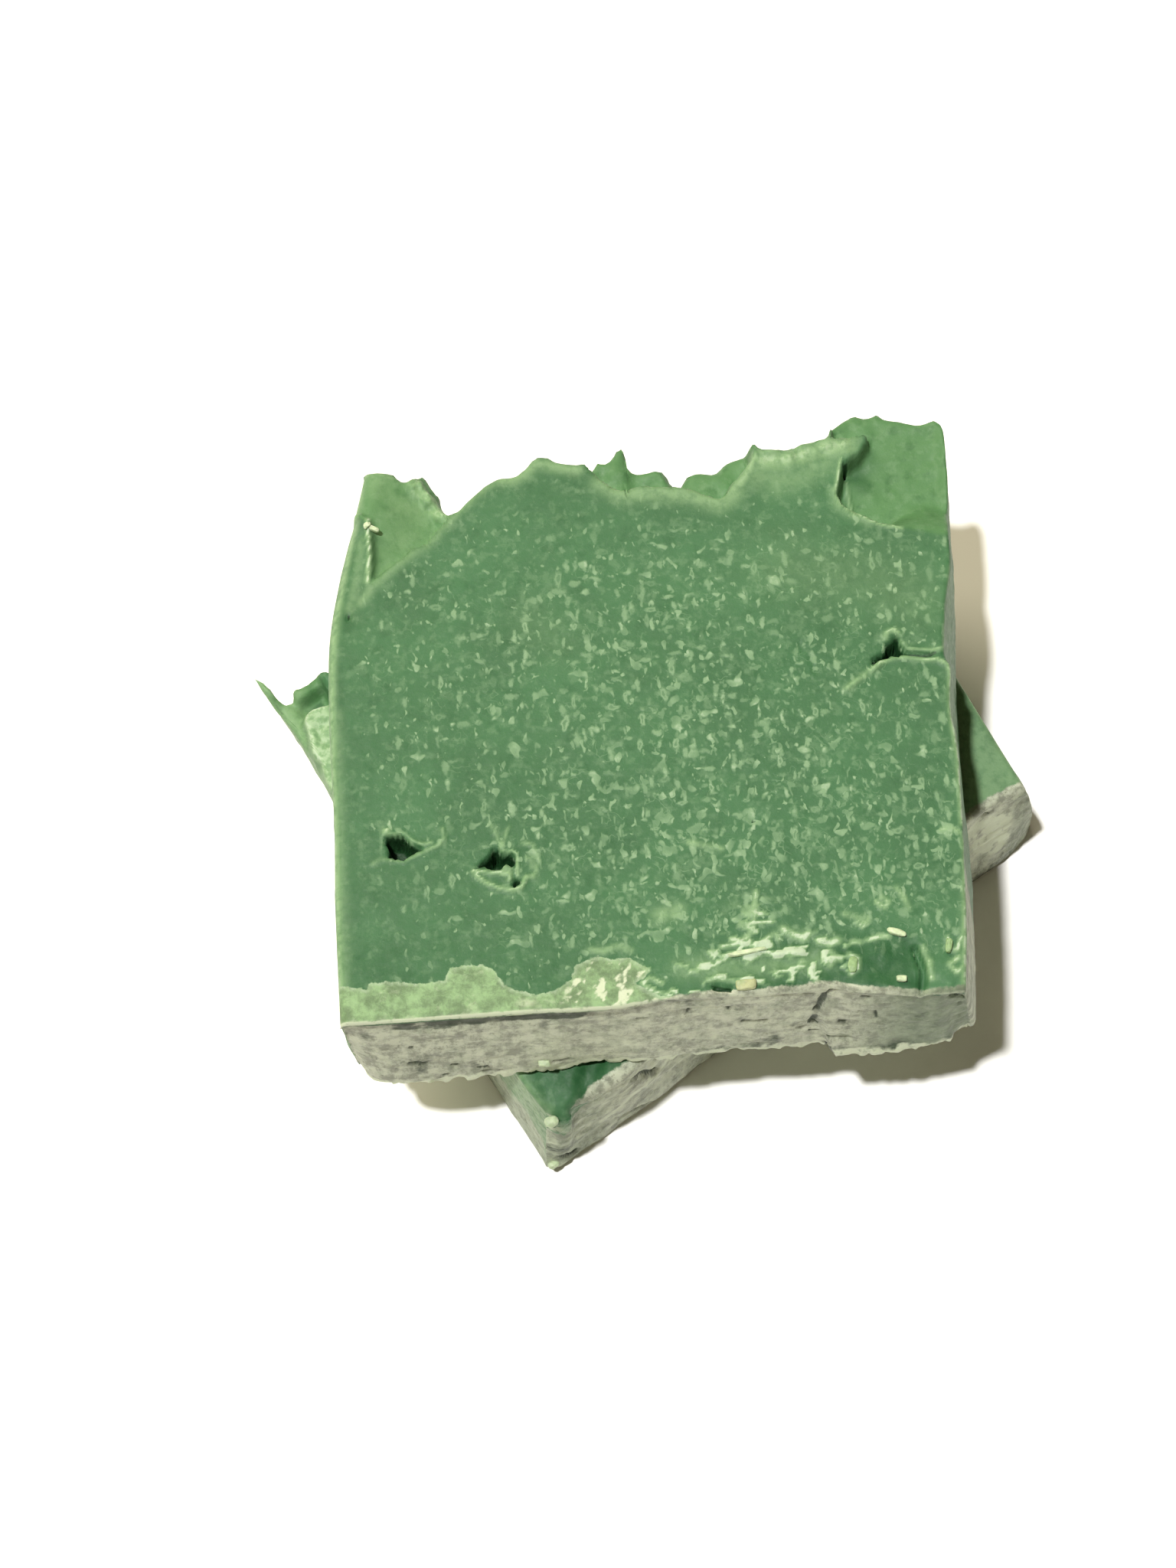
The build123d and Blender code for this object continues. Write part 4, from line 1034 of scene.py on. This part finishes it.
# Each crumb: its node, size, turn, lumpiness, squareness, finish and a small shift.
bits = [
    ("rim_crumb_outer", (1.0, 0.7, 0.8), 30, 0.35, 0.7, white, (-1.1, -0.1, 4.0)),
    ("rim_crumb_inner", (1.5, 0.6, 0.8), -30, 0.35, 0.7, white, (-1.7, 0, 3.8)),
    ("rice_flake", (2.3, 0.85, 0.7), -20, 0.15, 0.75, white, (0, 0, -0.05)),
    ("tooth_flake", (1.9, 0.8, 0.6), 80, 0.25, 0.6, leaf, (0, 0, -0.1)),
    ("oval_flake", (2.0, 1.2, 0.5), 80, 0.2, 0.8, leaf, (0, 0, -0.1)),
    ("corner_grain", (1.3, 0.7, 0.8), -8, 0.2, 0.55, white, (0, 0, -0.1)),
    ("cream_chip", (2.5, 1.3, 0.7), 4, 0.18, 0.5, cream, (0, 0, 0)),
    ("long_sliver", (4.6, 0.6, 0.7), 7, 0.35, 0.6, white, (0, 0, -0.05)),
    ("crust_grain", (1.5, 0.8, 0.8), -6, 0.2, 0.55, white, (-0.2, 1.1, 0.9)),
    ("tip_crumb", (1.6, 1.1, 1.1), 30, 0.35, 0.8, white, (-0.8, -0.9, 1.6)),
    ("corner_lump", (1.7, 1.3, 1.1), 15, 0.25, 0.7, white, (-1.3, -0.8, 0.5)),
]
for count, (node, size, turn, lumps, square, finish, move) in enumerate(bits):
    body = "lower_bar" if node in ("tip_crumb", "corner_lump") else "upper_bar"
    bit = crumb(node + "_shape", node, body, size, turn, lumps, square, 100 + count, move)
    bit.data.materials.append(finish)


# ---------------------------------------------------------------- floor, light, camera

def floor_sheet():
    """A wide square sheet on a grid of two parameters, flat, just below the soap."""
    n = 12
    g = np.linspace(-3000, 3000, n)
    x, y = np.meshgrid(g, g)
    ids = np.arange(n * n).reshape(n, n)
    quads = np.stack([ids[:-1, :-1], ids[:-1, 1:], ids[1:, 1:], ids[1:, :-1]], -1).reshape(-1, 4)
    flat = np.column_stack([x.ravel(), y.ravel(), np.full(n * n, -0.02)])
    made = make_mesh("table_top", flat, quads.tolist(), {})
    m = Finish("white_table")
    tone = m.noise(60.0, 2.0)
    m.put(m.shader.inputs["Base Color"], m.mix(tone, (0.90, 0.895, 0.88), (0.93, 0.925, 0.91)))
    m.shader.inputs["Roughness"].default_value = 0.8
    made.data.materials.append(m.material)


floor_sheet()
scene = bpy.context.scene
scene.view_settings.view_transform = "Standard"
scene.view_settings.look = "None"
world = bpy.data.worlds.new("studio")
scene.world = world
world.use_nodes = True
background = world.node_tree.nodes["Background"]
background.inputs["Color"].default_value = (1.0, 0.85, 0.54, 1.0)
background.inputs["Strength"].default_value = 0.12


def place_facing(name, data, place, aim):
    """A lamp or a camera at a place in mm, turned to face its aim."""
    made = bpy.data.objects.new(name, data)
    made.location = Vector(place) * MM
    made.rotation_euler = (Vector(aim) - Vector(place)).to_track_quat("-Z", "Y").to_euler()
    scene.collection.objects.link(made)
    return made


def lamp(name, kind, place, aim, energy, colour, size):
    """One lamp: size is a sun's angle in degrees, or a disk's width in mm."""
    light = bpy.data.lights.new(name, kind)
    light.energy = energy
    light.color = colour
    if kind == "SUN":
        light.angle = np.radians(size)
    else:
        light.shape = "DISK"
        light.size = size * MM
    place_facing(name, light, place, aim)


lamp("key", "SUN", (-215, -125, 1000), (0, 0, 0), 3.8, (1.0, 0.99, 0.965), 2.4)
lamp("back_fill", "AREA", (-320, 430, 720), (20, 30, 0), 5.2, (1.0, 0.89, 0.64), 600)
camera = bpy.data.cameras.new("camera")
camera.lens = 93.6
camera.sensor_width = 36
camera.clip_start = 0.01
camera.clip_end = 20
eye = place_facing("camera", camera, (-20.6, -182.3, 519.8), (-10.17, -11.61, 50))
scene.camera = eye
